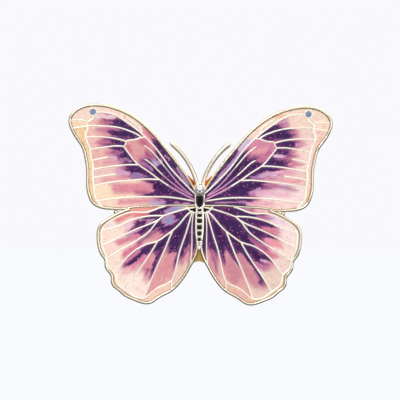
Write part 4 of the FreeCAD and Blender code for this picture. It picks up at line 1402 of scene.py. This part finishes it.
# ---- floor, light and camera ----
MIDDLE = Vector((0.07 * MM, 0, (1.36 - PIN_UP) * MM))    # what the camera looks at
LENS, SENSOR = 200, 36      # mm
VIEW_WIDTH = 0.0907         # metres that the view is wide at the enamel
ROLL = -0.65                # degrees that the photographed brooch is turned in its plane
FLOOR_Z = -0.15
FLOOR_R = 6.0
FLOOR_T = 0.004
FLOOR_SIDES = 96
BACKDROP = srgb(249, 249, 253)
STUDIO_WHITE = (0.97, 0.98, 1.0, 1)


def floor():
    s = Shader("paper_white")
    grain = s.noise(300.0, 4.0)
    white = s.finish(s.mix(s.remap(grain, 0.3, 0.7), srgb(252, 252, 255), srgb(255, 255, 255)), 0.7,
                     bump=grain, strength=0.05)
    rings = []
    for reach, z in ((FLOOR_R, FLOOR_Z - FLOOR_T), (FLOOR_R - 0.01, FLOOR_Z)):
        turns = [2 * math.pi * k / FLOOR_SIDES for k in range(FLOOR_SIDES)]
        rings.append([Vector((reach * math.cos(t), reach * math.sin(t), z)) for t in turns])
    verts, faces = skin(rings)
    mesh = new_mesh("floor", verts, faces)
    mesh.materials.append(white)
    made = placed("floor", mesh)
    made.visible_glossy = False     # so that the metal reflects the dark lower world


def area_light(name, place, size, watts, colour=(1, 1, 1)):
    data = bpy.data.lights.new(name, "AREA")
    data.shape = "RECTANGLE"
    data.size, data.size_y = size
    data.energy = watts
    data.color = colour
    made = placed(name, data)
    made.location = place
    made.rotation_mode = "QUATERNION"
    made.rotation_quaternion = (MIDDLE - made.location).to_track_quat("-Z", "Y")


def world():
    """A pale room to the camera, and a soft studio to all else: bright above and in front, dark below."""
    made = bpy.data.worlds.new("studio")
    bpy.context.scene.world = made
    made.use_nodes = True
    made.node_tree.nodes.clear()
    w = Nodes(made.node_tree)
    up = w.axis(w.places.outputs["Generated"], "Z")
    back = w.axis(w.places.outputs["Generated"], "Y")
    room = w.maths("ADD", w.remap(up, -0.45, 0.25, 0.05, 0.36), w.remap(up, 0.3, 0.75, 0.0, 0.7))
    window = w.remap(back, -0.68, -0.88)
    camera_side = w.remap(back, -0.965, -0.987, 1.0, 0.12)
    behind = w.remap(back, 0.25, 0.85, 0.0, 0.42)
    total = w.maths("MULTIPLY", w.maths("ADD", w.maths("ADD", room, window), behind), camera_side)
    studio = w.node("ShaderNodeBackground", Color=STUDIO_WHITE, Strength=total)
    backdrop = w.node("ShaderNodeBackground", Color=BACKDROP)
    choice = w.node("ShaderNodeMixShader", Fac=w.node("ShaderNodeLightPath").outputs["Is Camera Ray"])
    w.put(choice, "1", studio.outputs[0])
    w.put(choice, "2", backdrop.outputs[0])
    w.node("ShaderNodeOutputWorld", Surface=choice.outputs[0])


def camera():
    data = bpy.data.cameras.new("camera")
    data.lens = LENS
    data.sensor_width = SENSOR
    made = placed("camera", data)
    made.location = MIDDLE + Vector((0, ENAMEL_Y - VIEW_WIDTH * LENS / SENSOR, 0))
    made.rotation_euler = (math.radians(90), math.radians(ROLL), 0)
    data.clip_start, data.clip_end = 0.01, 10
    bpy.context.scene.camera = made


floor()
world()
area_light("key", (-0.22, -0.45, 0.38), (0.30, 0.22), 0.82, (1.0, 0.99, 0.98))
area_light("fill", (0.4, -0.3, 0.05), (0.25, 0.35), 0.35, (0.96, 0.98, 1.0))
area_light("rear", (0.15, 0.45, 0.3), (0.35, 0.3), 0.6)
camera()
bpy.context.scene.view_settings.view_transform = "Standard"
